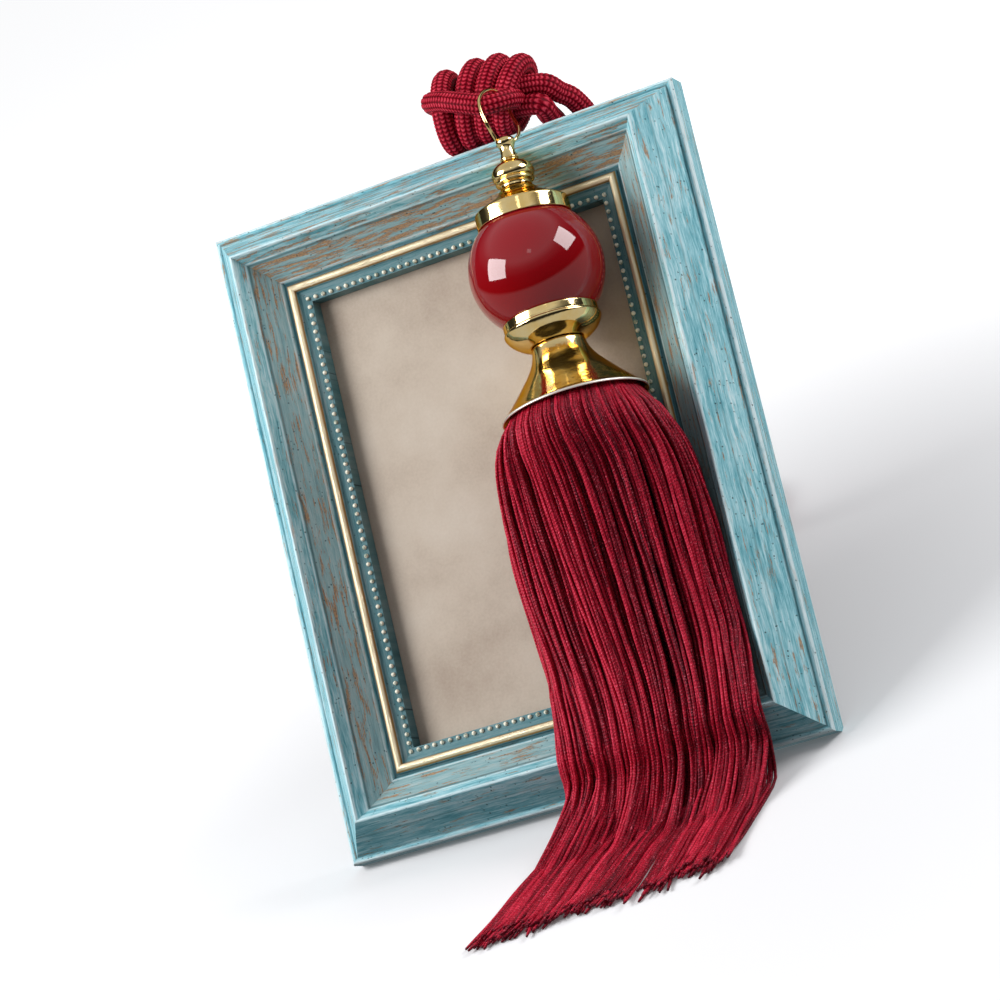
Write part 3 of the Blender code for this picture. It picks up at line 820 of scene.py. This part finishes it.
bellProfile = (
    (0.0, -32.9), (10.9, -32.9), (11.2, -33.0), (11.3, -33.3), (11.5, -35.0), (12.1, -37.1),
    (13.2, -39.7), (15.4, -43.1), (19.2, -47.6), (23.1, -52.1), (27.0, -56.2), (29.8, -59.0),
    (30.5, -59.5), (30.9, -59.8), (31.1, -60.2), (31.0, -60.5), (30.7, -60.7), (30.3, -60.6),
    (29.6, -60.1), (25.9, -56.4), (21.9, -52.3), (18.0, -47.9), (17.0, -47.9), (0.0, -47.9),
)

# middle of the wire ring on the face, from the finial's hole round the knot's binding strand
ring = {"radius": 0.00072, "sides": 14, "points": 220}
ringRoute = (
    (38.7, -23.1, 269.0), (37.6, -25.5, 273.0), (37.0, -28.0, 277.6), (36.1, -28.5, 282.8),
    (35.6, -26.6, 288.2), (36.1, -22.7, 292.0), (37.3, -18.6, 294.0), (38.4, -13.0, 294.6),
    (39.4, -7.7, 292.4), (39.7, -5.2, 287.1), (41.4, -7.3, 282.3), (44.1, -11.5, 277.6),
    (45.4, -15.9, 272.7), (44.5, -20.0, 269.3), (41.5, -21.9, 268.4),
)


def seatArc(low, high):  # over the ball, between two heights
    seat = place["ballRadius"] / mm + metal["seatGap"]
    start = math.asin(max(low / seat, -1))
    end = math.asin(min(high / seat, 1))
    turns = np.linspace(start, end, metal["seatSteps"] + 1)
    return np.stack([np.abs(seat * np.cos(turns)), seat * np.sin(turns)], axis=1)


def goldLook():
    look = Look("polished gold", Metallic=1.0, Roughness=0.09)
    look.set("Specular Tint", metal["edge"])
    where = look.where()
    cloud = look.noise(where, 150.0, 3.0)
    scuffs = look.noise(where, 1500.0, 2.0)
    rim = look.attribute("rim")
    color = look.mix(cloud, metal["rich"], metal["pale"])
    # painted highlight: the bell's rim is painted pale, a bright line of light along its lip
    look.set("Base Color", look.mix(rim, color, metal["wearAndRimHighlight"]))
    look.set("Roughness", 0.04 + 0.08 * cloud + 0.03 * scuffs + 0.35 * rim)
    look.bump(cloud, 0.16, 0.0006)
    return look


def turnedPiece(name, profile, look, axis, replaced):
    points, faces = turnedMesh(profile, metal["steps"])
    points = placed(axis, points)
    return makePiece(name, points, faces, look, [replaced], metal["sharpAngle"])


def cutRingHole(finial):
    inHole = [Vector(ringRoute[i]) * mm for i in (-2, -1, 0)]
    middle = (inHole[0] + inHole[1] + inHole[2]) / 3
    turn = (inHole[2] - inHole[0]).to_track_quat("Z", "Y").to_matrix().to_4x4()
    shaped = bmesh.new()
    radius = metal["holeRadius"] * mm
    bmesh.ops.create_cone(
        shaped, cap_ends=True, segments=metal["holeSides"], radius1=radius, radius2=radius,
        depth=metal["holeLength"] * mm, matrix=faceFrame @ Matrix.Translation(middle) @ turn,
    )
    cutter = bpy.data.objects.new("ringHole", meshFrom("ringHole", shaped))
    scene.collection.objects.link(cutter)
    cut = finial.modifiers.new("hole", "BOOLEAN")
    cut.operation = "DIFFERENCE"
    cut.object = cutter
    bpy.context.view_layer.update()
    graph = bpy.context.evaluated_depsgraph_get()
    finial.data = bpy.data.meshes.new_from_object(finial.evaluated_get(graph))
    finial.modifiers.clear()
    bpy.data.objects.remove(cutter)


def makeMetal():
    look = goldLook()
    ballTop = place["ballRadius"] / mm + 1
    finial = turnedPiece("goldFinial", rounded(finialProfile), look, upperFrame, "finial")
    cutRingHole(finial)
    cap = np.vstack([rounded(capProfile), seatArc(capProfile[-1][1], ballTop)])
    turnedPiece("goldCap", cap, look, upperFrame, "cap")
    cup = np.vstack([seatArc(-ballTop, cupProfile[0][1]), rounded(cupProfile)])
    turnedPiece("goldCup", cup, look, lowerFrame, "cup")
    bell = turnedPiece("goldBell", rounded(bellProfile), look, lowerFrame, "bell")
    spots = placed(lowerFrame.inverted(), [vert.co for vert in bell.data.vertices])
    # the rim gets a painted highlight
    setAttribute(bell, "rim", np.hypot(spots[:, 0], spots[:, 1]) > metal["rimRadius"] * mm)
    print("gold turned")
    return look


def makeRing(look):
    line = smoothPath(onFace(ringRoute), ring["points"], closed=True)
    side, across = pathFrames(line, True)
    turns = np.linspace(0, 2 * math.pi, ring["sides"], endpoint=False)
    points = tubePoints(line, side, across, turns, ring["radius"]).reshape(-1, 3)
    faces = gridFaces(len(line), ring["sides"], loopRows=True).tolist()
    makePiece("goldRing", points, faces, look, ["ring"])
    print("ring bent")


makeRing(makeMetal())


paper = {
    "shades": ((0.25, (0.34, 0.26, 0.20)), (0.5, (0.50, 0.42, 0.34)), (0.75, (0.60, 0.53, 0.45))),
}
board = {"dark": (0.10, 0.055, 0.03), "light": (0.26, 0.16, 0.09)}


def paperLook():
    look = Look("plain aged paper", Roughness=0.75)
    where = look.where()
    cloud = look.noise(where, 18.0, 4.0, 0.6)
    fibres = look.noise(where, 900.0, 3.0)
    tone = cloud * 0.8 + fibres * 0.2
    color = look.ramp(tone, paper["shades"])
    backColor = look.mix(tone, board["dark"], board["light"])
    normal = look.add("TexCoord", {}, {}, "Normal")
    out = tuple(faceFrame.to_3x3() @ Vector((0, -1, 0)))
    front = look.add("VectorMath", {"operation": "DOT_PRODUCT"}, {0: normal, 1: out}, "Value")
    look.set("Base Color", look.mix(look.step(front, -0.5, 0.5), backColor, color))
    look.set("Roughness", 0.6 + 0.25 * fibres)
    look.bump(fibres, 0.15, 0.0002)
    return look


def boardLook():
    look = Look("brown hardboard", Roughness=0.8)
    where = look.where()
    fibres = look.noise(where, 700.0, 4.0)
    cloud = look.noise(where, 30.0, 3.0)
    tone = fibres * 0.6 + cloud * 0.4
    look.set("Base Color", look.mix(tone, board["dark"], board["light"]))
    look.set("Roughness", 0.65 + 0.25 * fibres)
    look.bump(fibres, 0.35, 0.0004)
    return look


def dress(node, look):
    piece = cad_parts[node]
    piece.data.materials.clear()
    piece.data.materials.append(look.material)


dress("picture_board", paperLook())
dress("easel_leg", boardLook())
print("board and leg dressed")


# fringe: cords from the bell's mouth, down the picture and out over the floor
fringe = {
    "radius": 0.00072,
    "sides": 6,
    "samples": 46,
    "ease": 4,
    "plugSides": 64,
    "locks": 46,
    "deepLocks": 3.0,
    "halfWidth": 45.0,
    "rootDrop": 59.1,
    "leastReach": 68.0,
    "extraReach": 15.0,
    "uneven": 3.0,
    "leastSweep": 15.5,
    "extraSweep": 22.5,
    "sweepCurve": 0.8,
    "pile": 4.2,
    "twist": 1.3,
    "tip": 1.6,
    "seed": 11,
    # below the bell, the cords take this long to spread out
    "settle": 28,
    # sideways swings along a cord and a lock: share of the way round, and millimetres down
    "wander": ((0.0021, 21), (0.0012, 9)),
    "lockWander": (0.0030, 27),
    "hollow": 1.3,
    "ripple": (0.7, 26),
    "sway": 0.25,
    "shades": (
        (0.12, (0.035, 0.0003, 0.0018)), (0.40, (0.19, 0.0016, 0.009)),
        (0.66, (0.48, 0.0085, 0.031)), (0.98, (0.86, 0.060, 0.115)),
    ),
    "glint": (1.0, 0.20, 0.28),
    "cutEnd": (0.045, 0.0008, 0.004),
}


def rowsWith(keys, rows):
    return [dict(zip(keys, row)) for row in rows]


# how many cords, their roots' radius, how far inside the outline they run, how much they are
# drawn into locks, how high they pile up on the floor and how much they stray
fringeLayers = rowsWith(
    ("count", "root", "inset", "pull", "pile", "stray"),
    (
        (44, 26.6, -0.5, 0.2, 1.25, 2.0),
        (185, 26.4, 0.3, 1.0, 1.0, 1.0),
        (165, 24.4, 2.3, 0.9, 0.7, 1.0),
        (135, 21.8, 4.8, 0.3, 0.4, 1.0),
    ),
)
# outline in millimetres, with its height out of the face at front and back, and the locks' pull
fringeSections = rowsWith(
    ("down", "middle", "halfWidth", "front", "back", "pull"),
    (
        (4.6, 45.8, 32.2, 58.0, -4.4, 0.0),
        (8.0, 45.9, 37.4, 58.5, -4.4, 0.05),
        (15.5, 45.3, 41.7, 56.5, -4.4, 0.15),
        (30.5, 44.7, 44.5, 48.0, -4.4, 0.30),
        (64.5, 44.0, 44.8, 38.0, -4.4, 0.42),
        (100.5, 44.9, 45.0, 32.5, -4.4, 0.48),
        (111.0, 46.6, 45.0, 31.0, 6.4, 0.48),
        (136.0, 48.3, 45.0, 29.0, 22.5, 0.45),
        (149.5, 45.5, 45.0, 24.0, 9.5, 0.35),
    ),
)
floorStops = (0.24, 0.62, 1.0)  # where a cord's knots lie on the floor, as shares of its reach
plugProfile = ((0.0, -57.1), (26.4, -57.1), (26.4, -59.7), (0.0, -59.7))


def aroundSection(section, inset, shares):
    front = section["front"] - inset * 1.3
    back = section["back"] + inset
    turns = np.linspace(0, 2 * math.pi, 721)
    across = (section["halfWidth"] - inset) * np.cos(turns)
    out = (front + back) / 2 + (front - back) / 2 * np.sin(turns)
    steps = np.hypot(np.diff(across), np.diff(out))
    along = np.concatenate([[0], np.cumsum(steps)]) / steps.sum()
    wanted = shares % 1.0
    return np.interp(wanted, along, across), np.interp(wanted, along, out)


def eased(values, reach):  # spreads sideways bends over more of each cord
    weights = np.exp(-0.5 * (np.arange(-3 * reach, 3 * reach + 1) / reach) ** 2)
    weights /= weights.sum()
    before = 2 * values[:, :1] - values[:, 3 * reach:0:-1]
    after = 2 * values[:, -1:] - values[:, -2:-3 * reach - 2:-1]
    longer = np.hstack([before, values, after])
    return np.stack([np.convolve(row, weights, "valid") for row in longer])


def faceHeight(x, z):  # highest point of the picture's face within 3 mm of x
    heights = []
    for near in (x - 3 * mm, x, x + 3 * mm):
        inward = np.minimum(place["width"] / 2 - np.abs(near), min(max(z, 0), place["height"] - z))
        heights.append(railHeight(inward))
    return np.max(heights, axis=0)


def hangingKnots(layer, cords, section):  # where each cord passes one section of the fringe
    down = section["down"]
    settle = min(down / fringe["settle"], 1)
    lock = cords["lock"]
    phase = cords["phase"]
    lockDepth = lock["depth"] * (0.6 + 0.4 * np.sin(down / 34 + lock["phase"]))
    (wide, wideLength), (narrow, narrowLength) = fringe["wander"]
    wander = wide * np.sin(down / wideLength + phase[0])
    wander = wander + narrow * np.sin(down / narrowLength + phase[1])
    lockWide, lockLength = fringe["lockWander"]
    wander = layer["stray"] * wander + lockWide * np.sin(down / lockLength + lock["phase"] * 3)
    ripple, rippleLength = fringe["ripple"]
    inset = cords["depth"] + lockDepth + fringe["hollow"] * cords["edge"] ** 2
    inset = (inset + ripple * np.sin(down / rippleLength + phase[2])) * settle
    at = cords["shares"] + cords["toLock"] * section["pull"] * layer["pull"] + wander * settle
    across, out = aroundSection(section, layer["inset"], at)
    turned = np.arctan2(out - (section["front"] + section["back"]) / 2, across)
    x = section["middle"] + across - inset * np.cos(turned)
    out = out - inset * 1.2 * np.maximum(np.sin(turned), 0)
    z = place["ball"][2] - place["bellDrop"] - down * mm
    lift = fringe["radius"] + (0.4 + (1 - layer["inset"] / 5) * 0.8) * mm
    height = np.maximum(out * mm, faceHeight(x * mm, z) + lift)
    return placed(faceFrame, np.stack([x * mm, -height, np.full(len(x), z)], axis=1))


def floorKnots(layer, cords, isFront, edge, random):  # from the frame's edge over the floor
    count = len(edge)
    lock = cords["lock"]
    left = 0.5 - (edge[:, 0] / mm - fringeSections[-1]["middle"]) / (2 * fringe["halfWidth"])
    sweep = fringe["leastSweep"] + fringe["extraSweep"] * left
    sweep = sweep + random.uniform(-1.2, 1.2, count) + lock["sweep"]
    reach = fringe["leastReach"] + fringe["extraReach"] * left
    ends = random.uniform(-1, 1, count) * fringe["uneven"] + lock["ends"]
    ends = ends + (random.random(count) < 0.05) * random.uniform(2, 7, count)  # a few long ones
    pile = fringe["pile"] * (isFront * (0.55 + 0.45 * layer["pile"]) + 0.12)
    pile = pile * random.uniform(0.55, 1.35, count) * lock["pile"]
    knots = []
    for stop in floorStops:
        share = stop + (0.16 * isFront + lock["bend"] if stop == floorStops[0] else 0)
        x = edge[:, 0] - sweep * mm * share ** fringe["sweepCurve"]
        y = faceY - (reach * share + ends * stop**3) * mm
        z = fringe["radius"] + pile * (1 - 0.75 * stop) * mm
        knots.append(np.stack([x, y, z], axis=1))
    return knots


def cordPaths(layer, locks, random):
    count = layer["count"]
    shares = (np.arange(count) + 0.5 + random.uniform(-0.4, 0.4, count)) / count
    distance = (locks["middles"][None, :] - shares[:, None] + 0.5) % 1.0 - 0.5
    nearest = np.argmin(np.abs(distance), axis=1)
    toLock = distance[np.arange(count), nearest]
    cords = {
        "shares": shares,
        "toLock": toLock,
        "edge": np.minimum(np.abs(toLock) * 2 * fringe["locks"], 1.3),
        "lock": {name: values[nearest] for name, values in locks.items()},
        "depth": random.uniform(-0.4, 0.5, count),
        "phase": random.uniform(0, 2 * math.pi, (4, count)),
    }
    turn = 2 * math.pi * shares
    roots = np.stack([np.cos(turn), -np.sin(turn)], axis=1) * layer["root"]
    roots = np.column_stack([roots, np.full(count, -fringe["rootDrop"])])
    knots = [placed(lowerFrame, roots * mm)]
    knots += [hangingKnots(layer, cords, section) for section in fringeSections]
    knots += floorKnots(layer, cords, (np.sin(turn) > 0) * 1.0, knots[-1], random)
    lines = [smoothPath(line, fringe["samples"]) for line in np.stack(knots, axis=1)]
    lines = np.stack(lines)
    lines[..., 0] = eased(lines[..., 0], fringe["ease"])
    share = np.linspace(0, 1, fringe["samples"])[None, :]
    sway = fringe["sway"] * mm * np.minimum(share * 6, 1)
    lines[..., 0] += sway * np.sin(share * 31 + cords["phase"][3][:, None])
    lines[..., 2] += sway * 0.4 * np.sin(share * 43 + cords["phase"][1][:, None])
    curl = np.clip(share * 12 - 11, 0, 1) ** 2 * mm  # the cut ends are tangled
    lines[..., 0] += curl * random.uniform(-2.4, 2.4, count)[:, None]
    lines[..., 2] += curl * random.uniform(-0.5, 2.2, count)[:, None]
    lines[..., 2] = np.maximum(lines[..., 2], fringe["radius"])
    tints = 0.6 * random.random(count) + 0.4 * cords["lock"]["tint"]
    return lines, np.sin(turn), tints


def cordTubes(lines):
    along = np.gradient(lines, axis=1)
    along /= np.linalg.norm(along, axis=2)[..., None]
    side = np.cross(along, np.array([0.0, -0.5, 0.87]))
    side /= np.linalg.norm(side, axis=2)[..., None]
    out = np.cross(side, along)
    turns = np.linspace(0, 2 * math.pi, fringe["sides"], endpoint=False)
    radius = np.full(lines.shape[1], fringe["radius"])
    radius[-1] *= 0.7
    offsets = (
        side[:, :, None, :] * np.cos(turns)[None, None, :, None]
        + out[:, :, None, :] * np.sin(turns)[None, None, :, None]
    ) * radius[None, :, None, None]
    return lines[:, :, None, :] + offsets


def cordPiece(name, lines, tints, look):
    tubes = cordTubes(lines)
    count, samples, sides = tubes.shape[:3]
    each = samples * sides
    oneFaces = gridFaces(samples, sides)
    faces = (oneFaces[None] + np.arange(count)[:, None, None] * each).reshape(-1, 4).tolist()
    quads = len(faces)
    for i in range(count):
        faces.append(list(range(i * each, i * each + sides))[::-1])
        faces.append(list(range((i + 1) * each - sides, (i + 1) * each)))
    mesh = bpy.data.meshes.new(name)
    mesh.from_pydata(tubes.reshape(-1, 3).tolist(), [], faces)
    piece = pieceWith(mesh, look, ["fringe"])
    setAttribute(piece, "tint", np.repeat(tints, each))
    toEnd = np.linalg.norm(lines - lines[:, -1:], axis=2) / mm
    setAttribute(piece, "toEnd", np.repeat(toEnd.ravel(), sides))
    steps = np.linalg.norm(np.diff(lines, axis=1), axis=2).mean(axis=1) / mm
    column = np.tile(np.arange(sides), samples - 1)
    row = np.repeat(np.arange(samples - 1), sides)
    around = np.stack([column, column + 1, column + 1, column], axis=1) / sides
    down = np.stack([row, row, row + 1, row + 1], axis=1)
    thread = np.zeros((len(mesh.loops), 2), np.float32)
    thread[: quads * 4, 0] = np.tile(around.ravel(), count)
    thread[: quads * 4, 1] = (down.ravel()[None, :] * steps[:, None]).ravel()
    layer = mesh.uv_layers.new(name="thread")
    layer.data.foreach_set("uv", thread.ravel())


def cordLook():
    look = Look("twisted burgundy cord", Roughness=0.4, Specular_IOR_Level=0.45)
    look.set("Specular Tint", yarnShine)
    onThread = look.add("UVMap", {"uv_map": "thread"}, {})
    around = look.add("SeparateXYZ", {}, {0: onThread}, "X")
    down = look.add("SeparateXYZ", {}, {0: onThread}, "Y")
    tint = look.attribute("tint")
    wave = (around + down / fringe["twist"] + tint * 9) * (2 * math.pi)
    twist = look.add("Math", {"operation": "SINE"}, {0: wave}) * 0.5 + 0.5
    fibres = look.noise(look.vector(around * 5, down * 0.9, tint * 40), 1.0, 4.0, 0.7)
    glints = look.noise(look.vector(around * 4, down * 2.1, tint * 90), 1.0, 2.0)
    patch = look.noise(look.vector(around * 1.2, down * 0.12, tint * 55), 1.0, 2.0)
    # painted highlight: the twist's crests are painted lighter, and glints are painted along the cords
    lift = twist * 0.15 + fibres * 0.78 + patch * 0.48 + tint * 0.56 - 0.49
    color = look.ramp(lift, fringe["shades"])
    color = look.mix(look.step(glints, 0.60, 0.72) * 0.6, color, fringe["glint"])
    cutEnd = 1 - look.step(look.attribute("toEnd"), 0.3, fringe["tip"])
    look.set("Base Color", look.mix(cutEnd * 0.8, color, fringe["cutEnd"]))
    look.set("Roughness", 0.30 + 0.3 * fibres)
    look.bump(twist * 0.4 + fibres * 0.9, 0.6, 0.0004)
    return look


def makeFringe():
    random = np.random.default_rng(fringe["seed"])
    look = cordLook()
    count = fringe["locks"]
    locks = {
        "middles": (np.arange(count) + random.uniform(0.12, 0.88, count)) / count,
        "depth": random.uniform(0, fringe["deepLocks"], count),
        "phase": random.uniform(0, 2 * math.pi, count),
        "ends": random.uniform(-2.0, 2.0, count),
        "sweep": random.uniform(-3.0, 3.0, count),
        "bend": random.uniform(-0.05, 0.12, count),
        "pile": random.uniform(0.45, 1.15, count),
        "tint": random.random(count),
    }
    lines, turns, tints = zip(*[cordPaths(layer, locks, random) for layer in fringeLayers])
    lines = np.vstack(lines)
    front = np.concatenate(turns) > 0
    tints = np.concatenate(tints)
    cordPiece("fringeFront", lines[front], tints[front], look)
    cordPiece("fringeBack", lines[~front], tints[~front], look)
    points, faces = turnedMesh(plugProfile, fringe["plugSides"])
    points = placed(lowerFrame, points)
    root = makePiece("fringeRoot", points, faces, look, ["fringe"], metal["sharpAngle"])
    setAttribute(root, "tint", np.zeros(len(points)))
    setAttribute(root, "toEnd", np.full(len(points), 100.0))
    root.data.uv_layers.new(name="thread")
    print("fringe hung,", len(lines), "cords")


makeFringe()


studio = {
    "floor": (0.76, 0.76, 0.775),
    "floorCloud": (0.79, 0.79, 0.80),
    "nearGlow": 0.06,
    "farGlow": 0.66,
    "glowFrom": 0.12,
    "glowTo": 0.75,
    "floorSize": 40.0,
    "sky": (0.97, 0.98, 1.0),
    "above": 0.36,
    "below": 0.09,
    # how bright the surroundings are in reflections, from straight below to straight above
    "shine": ((0.45, 0.50), (0.49, 0.02), (0.67, 0.02), (0.76, 0.18), (0.84, 0.62), (1.0, 0.45)),
    # where on the ball each softbox is reflected, as shares of its radius right and up
    "boxes": {
        "left": {"seen": (-0.589, -0.044), "far": 0.95, "size": (0.60, 0.47), "roll": 0, "watts": 10},
        "right": {"seen": (0.386, 0.408), "far": 1.05, "size": (0.46, 0.61), "roll": -60, "watts": 8},
        "soft": {"seen": (-0.12, 0.21), "far": 1.40, "size": (0.15, 0.15), "roll": 0, "watts": 0.1},
    },
}


def makeSoftbox(name, box, target):
    toCamera = (scene.camera.matrix_world.translation - target).normalized()
    turn = scene.camera.matrix_world.to_3x3()
    right, up = box["seen"]
    facing = (turn @ Vector((right, up, math.sqrt(1 - right**2 - up**2)))).normalized()
    direction = 2 * facing.dot(toCamera) * facing - toCamera
    side = (turn @ Vector((0, 1, 0))).cross(direction).normalized()
    axes = Matrix((side, direction.cross(side), direction)).transposed().to_4x4()
    data = bpy.data.lights.new("softbox " + name, "AREA")
    data.shape = "RECTANGLE"
    data.size, data.size_y = box["size"]
    data.energy = box["watts"]
    lamp = bpy.data.objects.new("softbox " + name, data)
    scene.collection.objects.link(lamp)
    roll = Matrix.Rotation(math.radians(box["roll"]), 4, "Z")
    lamp.matrix_world = Matrix.Translation(target + direction * box["far"]) @ axes @ roll


def makeWorld():
    world = bpy.data.worlds.new("studio")
    world.use_nodes = True
    scene.world = world
    sky = Nodes(world.node_tree)
    height = sky.add("SeparateXYZ", {}, {0: sky.add("TexCoord", {}, {}, "Generated")}, "Z")
    limits = {"From Min": -0.10, "From Max": 0.02, "To Min": studio["below"], "To Max": studio["above"]}
    light = sky.add("MapRange", {}, {"Value": height, **limits})  # for matt surfaces
    stops = [(position, (level, level, level)) for position, level in studio["shine"]]
    shine = sky.ramp(height * 0.5 + 0.5, stops)
    glossy = sky.add("LightPath", {}, {}, "Is Glossy Ray")
    background = world.node_tree.nodes["Background"].inputs
    sky.plug(background["Color"], studio["sky"])
    sky.plug(background["Strength"], sky.add("Mix", {}, {0: glossy, 2: light, 3: shine}))


def makeStudio():
    look = Look("pale floor", Roughness=0.8, Specular_IOR_Level=0.0, Emission_Strength=1.0)
    where = look.where()
    cloud = look.noise(where, 3.0, 2.0)
    look.set("Base Color", look.mix(cloud * 0.3, studio["floor"], studio["floorCloud"]))
    away = look.add("VectorMath", {"operation": "LENGTH"}, {0: where}, "Value")
    share = look.step(away, studio["glowFrom"], studio["glowTo"])  # the floor runs up into white
    near = (studio["nearGlow"],) * 3
    far = (studio["farGlow"],) * 3
    look.set("Emission Color", look.mix(share, near, far))
    half = studio["floorSize"] / 2
    mesh = bpy.data.meshes.new("floor")
    corners = [(-half, -half, 0), (half, -half, 0), (half, half, 0), (-half, half, 0)]
    mesh.from_pydata(corners, [], [(0, 1, 2, 3)])
    mesh.materials.append(look.material)
    floor = bpy.data.objects.new("floor", mesh)
    floor.visible_glossy = False
    floor.visible_diffuse = False
    scene.collection.objects.link(floor)
    for name, box in studio["boxes"].items():
        makeSoftbox(name, box, lowerFrame.translation)
    makeWorld()
    scene.view_settings.view_transform = "Standard"
    print("studio lit")


makeStudio()

bpy.context.view_layer.update()
